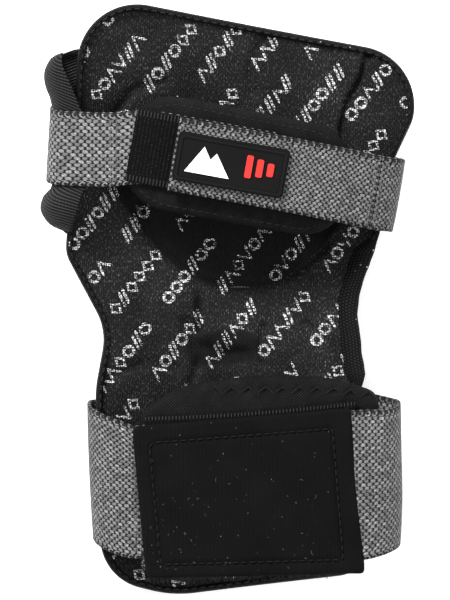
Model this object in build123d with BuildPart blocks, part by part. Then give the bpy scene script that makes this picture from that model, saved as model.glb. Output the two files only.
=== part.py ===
"""Snow-sport wrist guard: padded palm body, plastic palm splint, thumb sleeve and two closing straps.

Frame, in millimetres: x across the hand with the thumb on the left, y from the forearm to the
fingers, z up from the flat face of the palm splint's skid, which is what the guard rests on.
The palm side is down and the straps, over the back of the hand and of the wrist, are up.
"""

import os
from math import acos, asin, atan2, cos, radians, sin, sqrt

from build123d import *

os.makedirs("parts", exist_ok=True)

# ---- Body: layers are rings about one long axis, straight on the forearm, bent up over the palm
ARC_Z = 120.5  # height of the axis the layers are rings about
ARC_SPREAD = 36.0  # half angle of the rings, in degrees, before the outline cuts them
BEND_Z = 387.5  # height of the cross axis the palm half is bent round, at y = 0
BEND_ARC = 17.0  # how far round that axis the palm half runs, in degrees
FOREARM = 105.0  # length of the straight half before the outline cuts it
R_SKIN = 105.0  # face against the hand
LINING = 1.0
PADDING = 6.0
STIFFENER = 1.2
SHELL = 1.0
R_PADDING = R_SKIN + LINING
R_SHELL = R_PADDING + PADDING
R_OUT = R_SHELL + SHELL
BINDING = 0.6  # how proud the edge binding stands of both faces
BINDING_WIDTH = 4.5
EDGE_INSET = 1.0  # layers stop this far inside the binding's outer edge

# ---- Palm splint
SPLINT = 2.5
SKID_WIDTH = 30.0
SKID_LENGTH = 84.0
SKID_Y = -4.0
SKID_WINDOW = 17.0

# ---- Rivets
RIVETS = [(-12.5, -71.0), (12.5, -71.0), (-24.0, 57.0), (24.0, 54.0)]
RIVET_HEAD_R = 4.0
RIVET_HEAD = 1.1
RIVET_SUNK = 0.5
RIVET_R = 2.0
WASHER_R = 4.6
WASHER = 0.8
WASHER_DEPTH = SPLINT + SHELL + STIFFENER - 0.25

# ---- Straps
WEB = 1.6  # webbing thickness
TAPE = 1.2  # hook or loop tape thickness
PAD = 5.0  # comfort pad thickness
COVER = 0.7  # fabric over the pad foam
GAP = 0.4  # air between hook tape and the strap closed over it
HINGE_GAP = 0.35  # air round a fold line
WRIST_FOLD_GAP = 0.9  # more at the wide strap, which folds back closest to its own anchor
ANCHOR_R = R_OUT + WEB / 2

HAND_WIDTH = 25.0
HAND_SKEW = radians(10)
HAND_TILT = radians(9)
HAND_CROWN = 260.0  # radius the hand straps are arched to
HAND_FOLD_X = 53.6  # fold line where the free hand strap leaves the body
THUMB_X = 65.0  # how far out the thumb-side webbing reaches
THUMB_RISE = 3.4  # how much the bend lifts the body's edge at the thumb
SLEEVE = 1.5
SLEEVE_IN = (WEB + SLEEVE) / 2 + 0.05  # sleeve centre-line inside the webbing's
HAND_PEEL_U = 22.0
HAND_END_U = -20.5
BADGE = 1.8
EMBLEM = 0.5
BADGE_U = -1.2
BADGE_LENGTH = 37.5
BADGE_WIDTH = 16.5
PEAKS = [(-15.0, -4.6), (-9.6, 4.6), (-7.0, 0.6), (-5.2, 3.0), (0.0, -4.6)]

WRIST_WIDTH = 50.0
WRIST_CROWN = 150.0
WRIST_CROWN_Z = 43.0
WRIST_FOLD_X = 47.5  # fold line where the free wrist strap leaves the body
WRIST_SIDE_X = 54.7
WRIST_PEEL_X = 38.0
WRIST_LEFT_X = 48.2
WRIST_Y = -52.5  # middle of the wrist straps where they are sewn on
WRIST_SHEAR = 0.22  # the straps lean back this much per millimetre of height
PILE = 1.0

# ---- Plan outlines: corner x, corner y, corner radius
BODY = [
    (-51.0, 102.6, 20),
    (60.2, 80.6, 18),
    (58.6, 62.0, 14),
    (53.0, 47.0, 20),
    (48.2, 22.0, 20),
    (39.6, -3.0, 30),
    (45.3, -91.0, 11),
    (-21.0, -99.0, 40),
    (-44.5, -93.0, 17),
    (-46.6, -30.0, 40),
    (-43.6, -8.0, 18),
    (-56.5, 15.5, 10),
]
SPLINT_PLAN = [
    (-22.0, -86.0, 10),
    (-20.0, -18.0, 25),
    (-34.0, 18.0, 25),
    (-33.0, 76.0, 16),
    (33.0, 66.0, 16),
    (34.0, 18.0, 25),
    (20.0, -18.0, 25),
    (22.0, -86.0, 10),
]
STIFFENER_PLAN = [
    (-27.0, -89.0, 10),
    (-25.0, -14.0, 25),
    (-40.0, 18.0, 22),
    (-39.0, 82.0, 16),
    (39.0, 72.0, 16),
    (40.0, 18.0, 22),
    (25.0, -14.0, 25),
    (27.0, -85.0, 10),
]
SLEEVE_PLAN = [
    (-40.0, 83.5, 1),
    (-64.8, 83.5, 9),
    (-66.0, 29.0, 5),
    (-54.0, 21.0, 5),
    (-40.0, 21.0, 1),
]
SLEEVE_TOP_NOTCH = [(-40.0, 63.5, 1), (-51.0, 65.5, 3), (-57.5, 90.0, 1), (-40.0, 90.0, 1)]
SLEEVE_LOW_NOTCH = [(-40.0, 35.0, 1), (-51.0, 33.5, 3), (-57.0, 15.0, 1), (-40.0, 15.0, 1)]
HAND_PAD_PLAN = [(-38.0, -21.0, 18), (-38.0, 18.5, 17), (38.0, 17.5, 14), (38.0, -20.5, 15)]
WRIST_PAD_PLAN = [
    (-31.5, -87.0, 7),
    (-31.5, -37.0, 7),
    (-18.0, -28.5, 18),
    (4.0, -25.0, 60),
    (32.0, -25.5, 40),
    (48.0, -30.5, 6),
    (47.5, -86.0, 7),
]
WRIST_TAB_PLAN = [(-34.0, -44.0, 4), (36.2, -37.0, 1), (41.2, -91.0, 1), (-30.0, -93.0, 4)]


def unit(x, y, z):
    """A vector of length one."""
    return Vector(x, y, z).normalized()


# ---- Frames the straps are drawn in
HAND_O = Vector(0, 45.6, 49)
HAND_U = unit(cos(HAND_SKEW), -sin(HAND_SKEW), 0)
HAND_V = unit(sin(HAND_SKEW) * cos(HAND_TILT), cos(HAND_SKEW) * cos(HAND_TILT), sin(HAND_TILT))
HAND_W = HAND_U.cross(HAND_V)
HAND_SIDE = Plane(HAND_O, x_dir=HAND_U, z_dir=HAND_V * -1)
HAND_TOP = Plane(HAND_O, x_dir=HAND_U, z_dir=HAND_W)
THUMB_SIDE = Plane((0, 49.5, 48.4), x_dir=(1, 0, 0), z_dir=(0, -cos(HAND_TILT), -sin(HAND_TILT)))
WRIST_SIDE = Plane.XZ.offset(60)
WRIST_SLAB = 45.0


# ---- Helpers
def section_z(x, radius):
    """Height of a layer of that radius, x across, on the straight forearm."""
    return ARC_Z - sqrt(radius**2 - x**2)


def on_layer(x, y, radius):
    """Plane touching a layer at plan point (x, y), facing away from the hand."""
    low = section_z(x, radius)
    reach = BEND_Z - low
    turn = asin(max(y, 0) / reach)
    down = (low - ARC_Z) / radius
    point = (x, y, BEND_Z - reach * cos(turn))
    return Plane(point, z_dir=(x / radius, -down * sin(turn), down * cos(turn)))


def ring_section(r_in, r_out, start, spread):
    """Cross-section of a layer between two radii, at y = 0, over part of the ring."""
    with BuildSketch(Plane.XZ) as section:
        with BuildLine():
            inner = CenterArc((0, ARC_Z), r_in, start, spread)
            outer = CenterArc((0, ARC_Z), r_out, start, spread)
            Line(inner @ 0, outer @ 0)
            Line(inner @ 1, outer @ 1)
        make_face()
    return section.sketch


def layer(r_in, r_out):
    """A whole layer: the straight forearm half, and the bent palm half as its two sides."""
    bend = Axis((0, 0, BEND_Z), (1, 0, 0))
    extrude(ring_section(r_in, r_out, 270 - ARC_SPREAD, 2 * ARC_SPREAD), amount=FOREARM)
    for start in (270 - ARC_SPREAD, 270):
        revolve(ring_section(r_in, r_out, start, ARC_SPREAD), axis=bend, revolution_arc=BEND_ARC)


def outline(plane, corners, inset=0.0):
    """Closed shape with its own radius at every corner, drawn smaller by the inset."""
    with BuildSketch(plane) as shape:
        with BuildLine():
            FilletPolyline(*[(x, y) for x, y, _ in corners], radius=[r for _, _, r in corners], close=True)
        make_face()
        if inset:
            offset(amount=-inset)
    return shape.sketch


def cut_to(corners, inset=0.0, mode=Mode.INTERSECT, low=-5.0, high=130.0):
    """Keeps (or removes) what stands over a plan outline."""
    extrude(outline(Plane.XY.offset(low), corners, inset), amount=high - low, mode=mode)


def arc(side, x, z, radius, start, end):
    """Arc about (x, z) between two angles, mirrored across x = 0 when side is -1."""
    middle = (start + end) / 2
    ThreePointArc(*[(side * (x + radius * cos(a)), z + radius * sin(a)) for a in (start, middle, end)])


def crown_angle(x, radius):
    """Angle about the crown's centre at which the arch is x across."""
    return acos(x / radius)


def over_the_side(side, feet, bend, x_side, r_side, top, crown, x_end):
    """Strap centre-line: from its feet up one side, round a shoulder and over the crown."""
    x_c = x_side - r_side
    z_c = top - crown + sqrt((crown - r_side) ** 2 - x_c**2)
    shoulder = atan2(z_c - top + crown, x_c)
    points = [(side * x, z) for x, z in feet + [(x_side, z_c)]]
    FilletPolyline(*points, radius=bend)
    arc(side, x_c, z_c, r_side, 0, shoulder)
    arc(side, 0, top - crown, crown, shoulder, crown_angle(x_end, crown))


def crown_band(plane, top, crown, low, high, x_from, x_to, half_width):
    """Arched slab between two heights over a crown line of that radius."""
    start = crown_angle(x_from, crown + (low + high) / 2)
    end = crown_angle(x_to, crown + (low + high) / 2)
    with BuildSketch(plane) as section:
        with BuildLine():
            arc(1, 0, top - crown, crown + low, start, end)
            arc(1, 0, top - crown, crown + high, start, end)
            for a in (start, end):
                inner = ((crown + low) * cos(a), top - crown + (crown + low) * sin(a))
                outer = ((crown + high) * cos(a), top - crown + (crown + high) * sin(a))
                Line(inner, outer)
        make_face()
    extrude(section.sketch, amount=half_width, both=True)


def fold_round(plane, point, radius, half_width, mode=Mode.ADD):
    """Round rod along a fold line."""
    with BuildSketch(plane) as end:
        with Locations(point):
            Circle(radius)
    extrude(end.sketch, amount=half_width, both=True, mode=mode)


def lean_cut(width, middle):
    """Keeps the leaning slice of a wrist strap: it goes back towards the forearm as it rises."""
    shift = WRIST_SHEAR * 60
    low = middle - width / 2
    high = middle + width / 2
    with BuildSketch(Plane.YZ) as slice_shape:
        with BuildLine():
            Polyline((low, 0), (high, 0), (high - shift, 60), (low - shift, 60), close=True)
        make_face()
    extrude(slice_shape.sketch, amount=90, both=True, mode=Mode.INTERSECT)


def label_and_write(builder, node):
    """Names a finished piece and writes it out."""
    builder.part.label = node
    export_step(builder.part, "parts/" + node + ".step")


# ---- Rivets and their washers, made first because every layer they pass is cut to them
with BuildPart() as splint_rivets:
    for x, y in RIVETS:
        face = on_layer(x, y, R_OUT + SPLINT)
        with BuildSketch(face.offset(-RIVET_SUNK)):
            Circle(RIVET_HEAD_R)
        extrude(amount=RIVET_SUNK + RIVET_HEAD, taper=28)
        with BuildSketch(face):
            Circle(RIVET_R)
        extrude(amount=-(WASHER_DEPTH + WASHER))
        with BuildSketch(face.offset(-(WASHER_DEPTH + WASHER))):
            Circle(RIVET_R + 0.9)
        extrude(amount=-0.7)
label_and_write(splint_rivets, "splint_rivets")

with BuildPart() as rivet_washers:
    for x, y in RIVETS:
        face = on_layer(x, y, R_OUT + SPLINT)
        with BuildSketch(face.offset(-WASHER_DEPTH)):
            Circle(WASHER_R)
            Circle(RIVET_R, mode=Mode.SUBTRACT)
        extrude(amount=-WASHER)
label_and_write(rivet_washers, "rivet_washers")

# ---- Body layers, from the skin outwards
with BuildPart() as lining:
    layer(R_SKIN, R_PADDING)
    cut_to(BODY, EDGE_INSET)
label_and_write(lining, "lining")

with BuildPart() as stiffener:
    layer(R_SHELL - STIFFENER, R_SHELL)
    cut_to(STIFFENER_PLAN)
    add(splint_rivets.part, mode=Mode.SUBTRACT)
    add(rivet_washers.part, mode=Mode.SUBTRACT)
label_and_write(stiffener, "stiffener")

with BuildPart() as foam_padding:
    layer(R_PADDING, R_SHELL)
    cut_to(BODY, EDGE_INSET)
    add(stiffener.part, mode=Mode.SUBTRACT)
    add(splint_rivets.part, mode=Mode.SUBTRACT)
    add(rivet_washers.part, mode=Mode.SUBTRACT)
label_and_write(foam_padding, "foam_padding")

with BuildPart() as outer_shell:
    layer(R_SHELL, R_OUT)
    cut_to(BODY, EDGE_INSET)
    add(splint_rivets.part, mode=Mode.SUBTRACT)
label_and_write(outer_shell, "outer_shell")

with BuildPart() as stacked_layers:
    layer(R_SKIN, R_OUT)
    cut_to(BODY, EDGE_INSET)

with BuildPart() as body_envelope:
    layer(R_SKIN - BINDING, R_OUT + BINDING)
    cut_to(BODY)

with BuildPart() as edge_binding:
    layer(R_SKIN - BINDING, R_OUT + BINDING)
    cut_to(BODY)
    cut_to(BODY, BINDING_WIDTH, Mode.SUBTRACT)
    add(stacked_layers.part, mode=Mode.SUBTRACT)
label_and_write(edge_binding, "edge_binding")

# ---- Palm splint: a curved plate with a flat-bottomed skid under it
with BuildPart() as skid:
    layer(R_OUT, R_OUT + 12)
    with BuildSketch(Plane.XY):
        with Locations((0, SKID_Y)):
            RectangleRounded(SKID_WIDTH, SKID_LENGTH, 12)
        with Locations((0, -26)):
            RectangleRounded(SKID_WINDOW, 26, 6, mode=Mode.SUBTRACT)
        with Locations((0, 19)):
            RectangleRounded(SKID_WINDOW, 22, 6, mode=Mode.SUBTRACT)
    extrude(amount=40, mode=Mode.INTERSECT)
    chamfer(skid.faces().sort_by(Axis.Z)[0].edges(), 0.8)

with BuildPart() as palm_splint:
    layer(R_OUT, R_OUT + SPLINT)
    cut_to(SPLINT_PLAN)
    add(skid.part)
    add(splint_rivets.part, mode=Mode.SUBTRACT)
label_and_write(palm_splint, "palm_splint")

# ---- Hand closure, thumb side: webbing sewn under the shell, up round the thumb sleeve, over the hand
shell_w = section_z(52.0, ANCHOR_R) + THUMB_RISE - THUMB_SIDE.origin.Z
shell_slope = 52.0 / sqrt(ANCHOR_R**2 - 52.0**2)

with BuildPart() as stub_wrap:
    with BuildSketch(THUMB_SIDE):
        with BuildLine():
            feet = [(46.0, shell_w - 6.0 * shell_slope), (53.5, shell_w + 0.2), (THUMB_X, shell_w + 2.4)]
            over_the_side(-1, feet, [8, 6], THUMB_X, 8.0, 0, HAND_CROWN, 46.0)
        trace(line_width=WEB)
    extrude(amount=HAND_WIDTH / 2, both=True)

with BuildPart() as stub_over_hand:
    crown_band(HAND_SIDE, 0, HAND_CROWN, -WEB / 2, WEB / 2, -49.0, 12.0, 30)
    cut_to([(-47.2, 36.6, 1), (-47.2, 62.4, 1), (-20.0, 62.4, 1), (-20.0, 36.6, 1)])
    crown_band(HAND_SIDE, 0, HAND_CROWN, -WEB / 2, WEB / 2, -34.0, 12.0, HAND_WIDTH / 2)
    add(stub_wrap.part)
    add(body_envelope.part, mode=Mode.SUBTRACT)

with BuildPart() as hand_stub_strap:
    layer(R_OUT, R_OUT + WEB)
    cut_to([(-53, 36.2, 1), (-53, 61.2, 1), (-37, 61.2, 1), (-37, 36.2, 1)])
    add(stub_over_hand.part)
    add(body_envelope.part, mode=Mode.SUBTRACT)
label_and_write(hand_stub_strap, "hand_stub_strap")

with BuildPart() as thumb_sleeve:
    with BuildSketch(THUMB_SIDE):
        with BuildLine():
            reach = THUMB_X - SLEEVE_IN
            feet = [(48.0, shell_w + 2.4), (reach, shell_w + 3.8)]
            over_the_side(-1, feet, 4.5, reach, 8.0 - SLEEVE_IN, -SLEEVE_IN, HAND_CROWN - SLEEVE_IN, 44.5)
        trace(line_width=SLEEVE)
    extrude(amount=42, both=True)
    cut_to(SLEEVE_PLAN)
    add(body_envelope.part, mode=Mode.SUBTRACT)
    cut_to(SLEEVE_TOP_NOTCH, mode=Mode.SUBTRACT, low=41.0)
    cut_to(SLEEVE_LOW_NOTCH, mode=Mode.SUBTRACT, low=35.5)
    add(hand_stub_strap.part, mode=Mode.SUBTRACT)
label_and_write(thumb_sleeve, "thumb_sleeve")

# ---- Comfort pad and hook tape that ride on the thumb-side webbing
with BuildPart() as hand_pad_foam:
    crown_band(HAND_SIDE, 0, HAND_CROWN, -WEB / 2 - PAD + COVER, -WEB / 2 - COVER, -45, 45, 30)
    extrude(outline(HAND_TOP.offset(-40), HAND_PAD_PLAN, COVER), amount=80, mode=Mode.INTERSECT)
label_and_write(hand_pad_foam, "hand_pad_foam")

with BuildPart() as hand_pad_cover:
    crown_band(HAND_SIDE, 0, HAND_CROWN, -WEB / 2 - PAD, -WEB / 2, -45, 45, 30)
    extrude(outline(HAND_TOP.offset(-40), HAND_PAD_PLAN), amount=80, mode=Mode.INTERSECT)
    add(hand_pad_foam.part, mode=Mode.SUBTRACT)
label_and_write(hand_pad_cover, "hand_pad_cover")

with BuildPart() as hand_hook_tape:
    crown_band(HAND_SIDE, 0, HAND_CROWN, WEB / 2, WEB / 2 + TAPE, -35.0, 11.0, HAND_WIDTH / 2)
label_and_write(hand_hook_tape, "hand_hook_tape")

# ---- Hand closure, far side: anchor under the shell, free strap in two lengths, badge
fold = HAND_SIDE.to_local_coords(on_layer(HAND_FOLD_X, 39.0, ANCHOR_R).origin)
hand_fold = (fold.X, fold.Y)
hand_reach = fold.X + 2.2
free_top = WEB / 2 + TAPE + GAP + TAPE + WEB / 2
free_crown = HAND_CROWN + free_top
peel_angle = crown_angle(HAND_PEEL_U, free_crown)
hand_peel = (HAND_PEEL_U, free_top - free_crown + free_crown * sin(peel_angle))

with BuildPart() as hand_strap_anchor:
    layer(R_OUT, R_OUT + WEB)
    with BuildSketch(HAND_TOP.offset(-60)):
        with Locations((37.5, 0)):
            Rectangle(hand_fold[0] - 38.7, HAND_WIDTH, align=(Align.MIN, Align.CENTER))
    extrude(amount=120, mode=Mode.INTERSECT)
    with BuildSketch(HAND_SIDE):
        with BuildLine():
            Line((hand_fold[0] - 6.0, hand_fold[1] - 3.0), hand_fold)
        trace(line_width=WEB)
    extrude(amount=HAND_WIDTH / 2, both=True)
    add(body_envelope.part, mode=Mode.SUBTRACT)
    fold_round(HAND_SIDE, hand_fold, WEB / 2 + HINGE_GAP, 20, Mode.SUBTRACT)
label_and_write(hand_strap_anchor, "hand_strap_anchor")

with BuildPart() as hand_strap:
    with BuildSketch(HAND_SIDE):
        with BuildLine():
            feet = [hand_fold, (hand_reach, hand_fold[1] + 3.5)]
            over_the_side(1, feet, 3.0, hand_reach, 9.0, free_top, free_crown, HAND_PEEL_U)
        trace(line_width=WEB)
    extrude(amount=HAND_WIDTH / 2, both=True)
    fold_round(HAND_SIDE, hand_fold, WEB / 2, HAND_WIDTH / 2)
    fold_round(HAND_SIDE, hand_peel, WEB / 2 + HINGE_GAP, 20, Mode.SUBTRACT)
label_and_write(hand_strap, "hand_strap")

with BuildPart() as hand_strap_tip:
    low = free_top - WEB / 2
    crown_band(HAND_SIDE, 0, HAND_CROWN, low, low + WEB, HAND_END_U, HAND_PEEL_U, HAND_WIDTH / 2)
    fold_round(HAND_SIDE, hand_peel, WEB / 2, HAND_WIDTH / 2)
label_and_write(hand_strap_tip, "hand_strap_tip")

with BuildPart() as hand_loop_tape:
    low = free_top - WEB / 2 - TAPE
    crown_band(HAND_SIDE, 0, HAND_CROWN, low, low + TAPE, HAND_END_U + 1, HAND_PEEL_U - 2, HAND_WIDTH / 2 - 1)
label_and_write(hand_loop_tape, "hand_loop_tape")

with BuildPart() as badge:
    low = free_top + WEB / 2
    crown_band(HAND_SIDE, 0, HAND_CROWN, low, low + BADGE, -30, 30, 20)
    with BuildSketch(HAND_TOP.offset(-20)):
        with Locations((BADGE_U, 0)):
            RectangleRounded(BADGE_LENGTH, BADGE_WIDTH, 1.6)
    extrude(amount=40, mode=Mode.INTERSECT)
label_and_write(badge, "badge")

with BuildPart() as badge_frame:
    low = free_top + WEB / 2 + BADGE
    crown_band(HAND_SIDE, 0, HAND_CROWN, low, low + EMBLEM, -30, 30, 20)
    with BuildSketch(HAND_TOP.offset(-20)):
        with Locations((BADGE_U, 0)):
            RectangleRounded(BADGE_LENGTH - 1.4, BADGE_WIDTH - 1.4, 1.2)
            RectangleRounded(BADGE_LENGTH - 3.2, BADGE_WIDTH - 3.2, 0.8, mode=Mode.SUBTRACT)
    extrude(amount=40, mode=Mode.INTERSECT)
label_and_write(badge_frame, "badge_frame")

with BuildPart() as badge_peaks:
    low = free_top + WEB / 2 + BADGE
    crown_band(HAND_SIDE, 0, HAND_CROWN, low, low + EMBLEM, -30, 30, 20)
    with BuildSketch(HAND_TOP.offset(-20)):
        with BuildLine():
            Polyline(*[(BADGE_U + x, y) for x, y in PEAKS], close=True)
        make_face()
    extrude(amount=40, mode=Mode.INTERSECT)
label_and_write(badge_peaks, "badge_peaks")

with BuildPart() as badge_bars:
    low = free_top + WEB / 2 + BADGE
    crown_band(HAND_SIDE, 0, HAND_CROWN, low, low + EMBLEM, -30, 30, 20)
    with BuildSketch(HAND_TOP.offset(-20)):
        for step in range(3):
            with Locations((BADGE_U + 6.0 + 3.6 * step, 0.6)):
                RectangleRounded(2.2, 7.6 - 1.6 * step, 0.6)
    extrude(amount=40, mode=Mode.INTERSECT)
label_and_write(badge_bars, "badge_bars")

# ---- Wrist closure, left side: webbing sewn under the shell, up and over the back of the wrist
with BuildPart() as stub_over_wrist:
    with BuildSketch(WRIST_SIDE):
        with BuildLine():
            slope = 45.0 / sqrt(ANCHOR_R**2 - 45.0**2)
            foot = section_z(45.0, ANCHOR_R)
            feet = [(42.0, section_z(42.0, ANCHOR_R)), (WRIST_LEFT_X, foot + (WRIST_LEFT_X - 45.0) * slope)]
            over_the_side(-1, feet, 4.0, WRIST_LEFT_X, 12.0, WRIST_CROWN_Z, WRIST_CROWN, -40.0)
        trace(line_width=WEB)
    extrude(amount=WRIST_SLAB, both=True)
    add(body_envelope.part, mode=Mode.SUBTRACT)
    lean_cut(WRIST_WIDTH, WRIST_Y)

with BuildPart() as wrist_stub_strap:
    layer(R_OUT, R_OUT + WEB)
    cut_to([(-45.5, -95, 1), (-45.5, -15, 1), (-24.5, -15, 1), (-24.5, -95, 1)])
    add(body_envelope.part, mode=Mode.SUBTRACT)
    lean_cut(WRIST_WIDTH, WRIST_Y)
    add(stub_over_wrist.part)
label_and_write(wrist_stub_strap, "wrist_stub_strap")

with BuildPart() as wrist_pad_foam:
    low = -WEB / 2 - PAD
    crown_band(WRIST_SIDE, WRIST_CROWN_Z, WRIST_CROWN, low + COVER, -WEB / 2 - COVER, -55, 55, WRIST_SLAB)
    cut_to(WRIST_PAD_PLAN, COVER)
label_and_write(wrist_pad_foam, "wrist_pad_foam")

with BuildPart() as wrist_pad_cover:
    crown_band(WRIST_SIDE, WRIST_CROWN_Z, WRIST_CROWN, -WEB / 2 - PAD, -WEB / 2, -55, 55, WRIST_SLAB)
    cut_to(WRIST_PAD_PLAN)
    add(wrist_pad_foam.part, mode=Mode.SUBTRACT)
label_and_write(wrist_pad_cover, "wrist_pad_cover")

with BuildPart() as wrist_pad_binding:
    crown_band(WRIST_SIDE, WRIST_CROWN_Z, WRIST_CROWN, -WEB / 2, -WEB / 2 + 0.7, -55, 55, WRIST_SLAB)
    cut_to(WRIST_PAD_PLAN)
    cut_to([(-60, -100, 1), (-60, -32.5, 1), (60, -32.5, 1), (60, -100, 1)], mode=Mode.SUBTRACT)
    add(wrist_stub_strap.part, mode=Mode.SUBTRACT)
label_and_write(wrist_pad_binding, "wrist_pad_binding")

with BuildPart() as wrist_hook_tape:
    crown_band(WRIST_SIDE, WRIST_CROWN_Z, WRIST_CROWN, WEB / 2, WEB / 2 + TAPE, -30.0, 40.0, WRIST_SLAB)
    lean_cut(WRIST_WIDTH, WRIST_Y + 1.0)
label_and_write(wrist_hook_tape, "wrist_hook_tape")

# ---- Wrist closure, right side: anchor, free strap and the tab that presses onto the hook tape
wrist_fold = (WRIST_FOLD_X, section_z(WRIST_FOLD_X, ANCHOR_R))
wrist_slope = WRIST_FOLD_X / sqrt(ANCHOR_R**2 - WRIST_FOLD_X**2)
wrist_free = WRIST_CROWN + free_top
wrist_peel = (WRIST_PEEL_X, WRIST_CROWN_Z - WRIST_CROWN + sqrt(wrist_free**2 - WRIST_PEEL_X**2))

with BuildPart() as wrist_strap_anchor:
    layer(R_OUT, R_OUT + WEB)
    cut_to([(24.5, -95, 1), (24.5, -15, 1), (WRIST_FOLD_X, -15, 1), (WRIST_FOLD_X, -95, 1)])
    add(body_envelope.part, mode=Mode.SUBTRACT)
    fold_round(WRIST_SIDE, wrist_fold, WEB / 2 + WRIST_FOLD_GAP, WRIST_SLAB, Mode.SUBTRACT)
    lean_cut(WRIST_WIDTH, WRIST_Y)
label_and_write(wrist_strap_anchor, "wrist_strap_anchor")

with BuildPart() as wrist_strap:
    with BuildSketch(WRIST_SIDE):
        with BuildLine():
            corner = wrist_fold[1] + (WRIST_SIDE_X - WRIST_FOLD_X) * wrist_slope
            feet = [wrist_fold, (WRIST_SIDE_X, corner)]
            over_the_side(1, feet, 4.0, WRIST_SIDE_X, 16.0, WRIST_CROWN_Z + free_top, wrist_free, WRIST_PEEL_X)
        trace(line_width=WEB)
    extrude(amount=WRIST_SLAB, both=True)
    fold_round(WRIST_SIDE, wrist_fold, WEB / 2, WRIST_SLAB)
    fold_round(WRIST_SIDE, wrist_peel, WEB / 2 + HINGE_GAP, WRIST_SLAB, Mode.SUBTRACT)
    lean_cut(WRIST_WIDTH, WRIST_Y)
label_and_write(wrist_strap, "wrist_strap")

with BuildPart() as wrist_tab:
    low = free_top - WEB / 2
    crown_band(WRIST_SIDE, WRIST_CROWN_Z, WRIST_CROWN, low, low + WEB, -40, WRIST_PEEL_X, WRIST_SLAB)
    fold_round(WRIST_SIDE, wrist_peel, WEB / 2, WRIST_SLAB)
    cut_to(WRIST_TAB_PLAN)
label_and_write(wrist_tab, "wrist_tab")

with BuildPart() as wrist_tab_pile:
    low = free_top + WEB / 2
    crown_band(WRIST_SIDE, WRIST_CROWN_Z, WRIST_CROWN, low, low + PILE, -40, WRIST_PEEL_X - 2.2, WRIST_SLAB)
    cut_to(WRIST_TAB_PLAN)
label_and_write(wrist_tab_pile, "wrist_tab_pile")

with BuildPart() as wrist_loop_tape:
    low = free_top - WEB / 2 - TAPE
    crown_band(WRIST_SIDE, WRIST_CROWN_Z, WRIST_CROWN, low, low + TAPE, -40, WRIST_PEEL_X - 2.2, WRIST_SLAB)
    cut_to(WRIST_TAB_PLAN, 1.0)
label_and_write(wrist_loop_tape, "wrist_loop_tape")
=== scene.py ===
"""Looks of the wrist guard, in the CAD frame: cloth, webbing, tapes, pads and prints."""

from functools import partialmethod
from math import acos, atan2, cos, pi, radians, sin, sqrt

import bmesh
import bpy
import numpy as np
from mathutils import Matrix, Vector


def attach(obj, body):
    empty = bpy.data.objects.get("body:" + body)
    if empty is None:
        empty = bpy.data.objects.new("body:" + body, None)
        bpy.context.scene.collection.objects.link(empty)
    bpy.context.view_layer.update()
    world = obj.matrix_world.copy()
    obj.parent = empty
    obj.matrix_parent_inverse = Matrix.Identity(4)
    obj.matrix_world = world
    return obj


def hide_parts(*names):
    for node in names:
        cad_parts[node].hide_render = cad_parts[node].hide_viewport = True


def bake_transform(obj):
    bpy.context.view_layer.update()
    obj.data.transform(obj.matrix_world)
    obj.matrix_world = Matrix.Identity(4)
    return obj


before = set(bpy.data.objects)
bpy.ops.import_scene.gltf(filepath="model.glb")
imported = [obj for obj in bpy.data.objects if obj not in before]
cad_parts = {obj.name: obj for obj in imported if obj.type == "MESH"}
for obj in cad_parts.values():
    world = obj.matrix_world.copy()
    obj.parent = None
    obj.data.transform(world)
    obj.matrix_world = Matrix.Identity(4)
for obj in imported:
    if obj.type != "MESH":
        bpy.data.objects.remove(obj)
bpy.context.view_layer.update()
scene = bpy.context.scene
MM = 0.001
rng = np.random.default_rng(7)

# ---- The CAD's driving dimensions, in millimetres; three corners of BODY are about 1 mm apart from its
ARC_Z, BEND_Z = 120.5, 387.5
R_SKIN, R_OUT = 105.0, 113.0
WEB, TAPE, PAD, GAP = 1.6, 1.2, 5.0, 0.4
HAND_SKEW, HAND_TILT, HAND_CROWN = radians(10), radians(9), 260.0
WRIST_Y, WRIST_SHEAR, WRIST_CROWN, WRIST_TOP = -52.5, 0.22, 150.0, 43.0
BODY = [
    (-51.0, 102.6, 20), (60.2, 81.2, 20), (59.6, 61.0, 13), (53.0, 47.0, 20), (48.2, 22.0, 20),
    (39.6, -3.0, 30), (45.3, -91.0, 11), (-21.0, -99.0, 40), (-44.5, -93.0, 17),
    (-46.6, -30.0, 40), (-42.9, -10.0, 20), (-56.5, 15.5, 10),
]


# ---- Small geometry helpers
def unit(v):
    v = np.asarray(v, float)
    return v / np.linalg.norm(v)


def section_z(x, radius):
    return ARC_Z - np.sqrt(radius**2 - np.asarray(x, float) ** 2)


def on_body(x, y, radius):
    """Points over plan (x, y) on the ring layer of that radius, bent up past y = 0."""
    x, y, radius = np.broadcast_arrays(*(np.asarray(a, float) for a in (x, y, radius)))
    reach = BEND_Z - section_z(x, radius)
    bent = BEND_Z - np.sqrt(reach**2 - np.maximum(y, 0) ** 2)
    return np.stack([x, y, bent], -1)


def rounded(corners, step=0.8):
    """A closed polygon with its corners rounded, as points a step apart."""
    pts = []
    n = len(corners)
    for i, (x, y, r) in enumerate(corners):
        here = np.array([x, y])
        before = unit(np.array(corners[i - 1][:2]) - here)
        after = unit(np.array(corners[(i + 1) % n][:2]) - here)
        half = acos(np.clip(before @ after, -1, 1)) / 2
        run = r / np.tan(half)
        centre = here + unit(before + after) * (r / sin(half))
        a0 = here + before * run - centre
        a1 = here + after * run - centre
        t0, t1 = atan2(a0[1], a0[0]), atan2(a1[1], a1[0])
        turn = (t1 - t0 + pi) % (2 * pi) - pi
        for k in np.linspace(0, 1, max(4, int(abs(turn) * r / step))):
            a = t0 + turn * k
            pts.append(centre + r * np.array([cos(a), sin(a)]))
    return resample(np.array(pts + pts[:1]), step)[:-1]


def gaps(path):
    """Distances between neighbouring points of a line."""
    return np.linalg.norm(np.diff(np.asarray(path), axis=0), axis=1)


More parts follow.
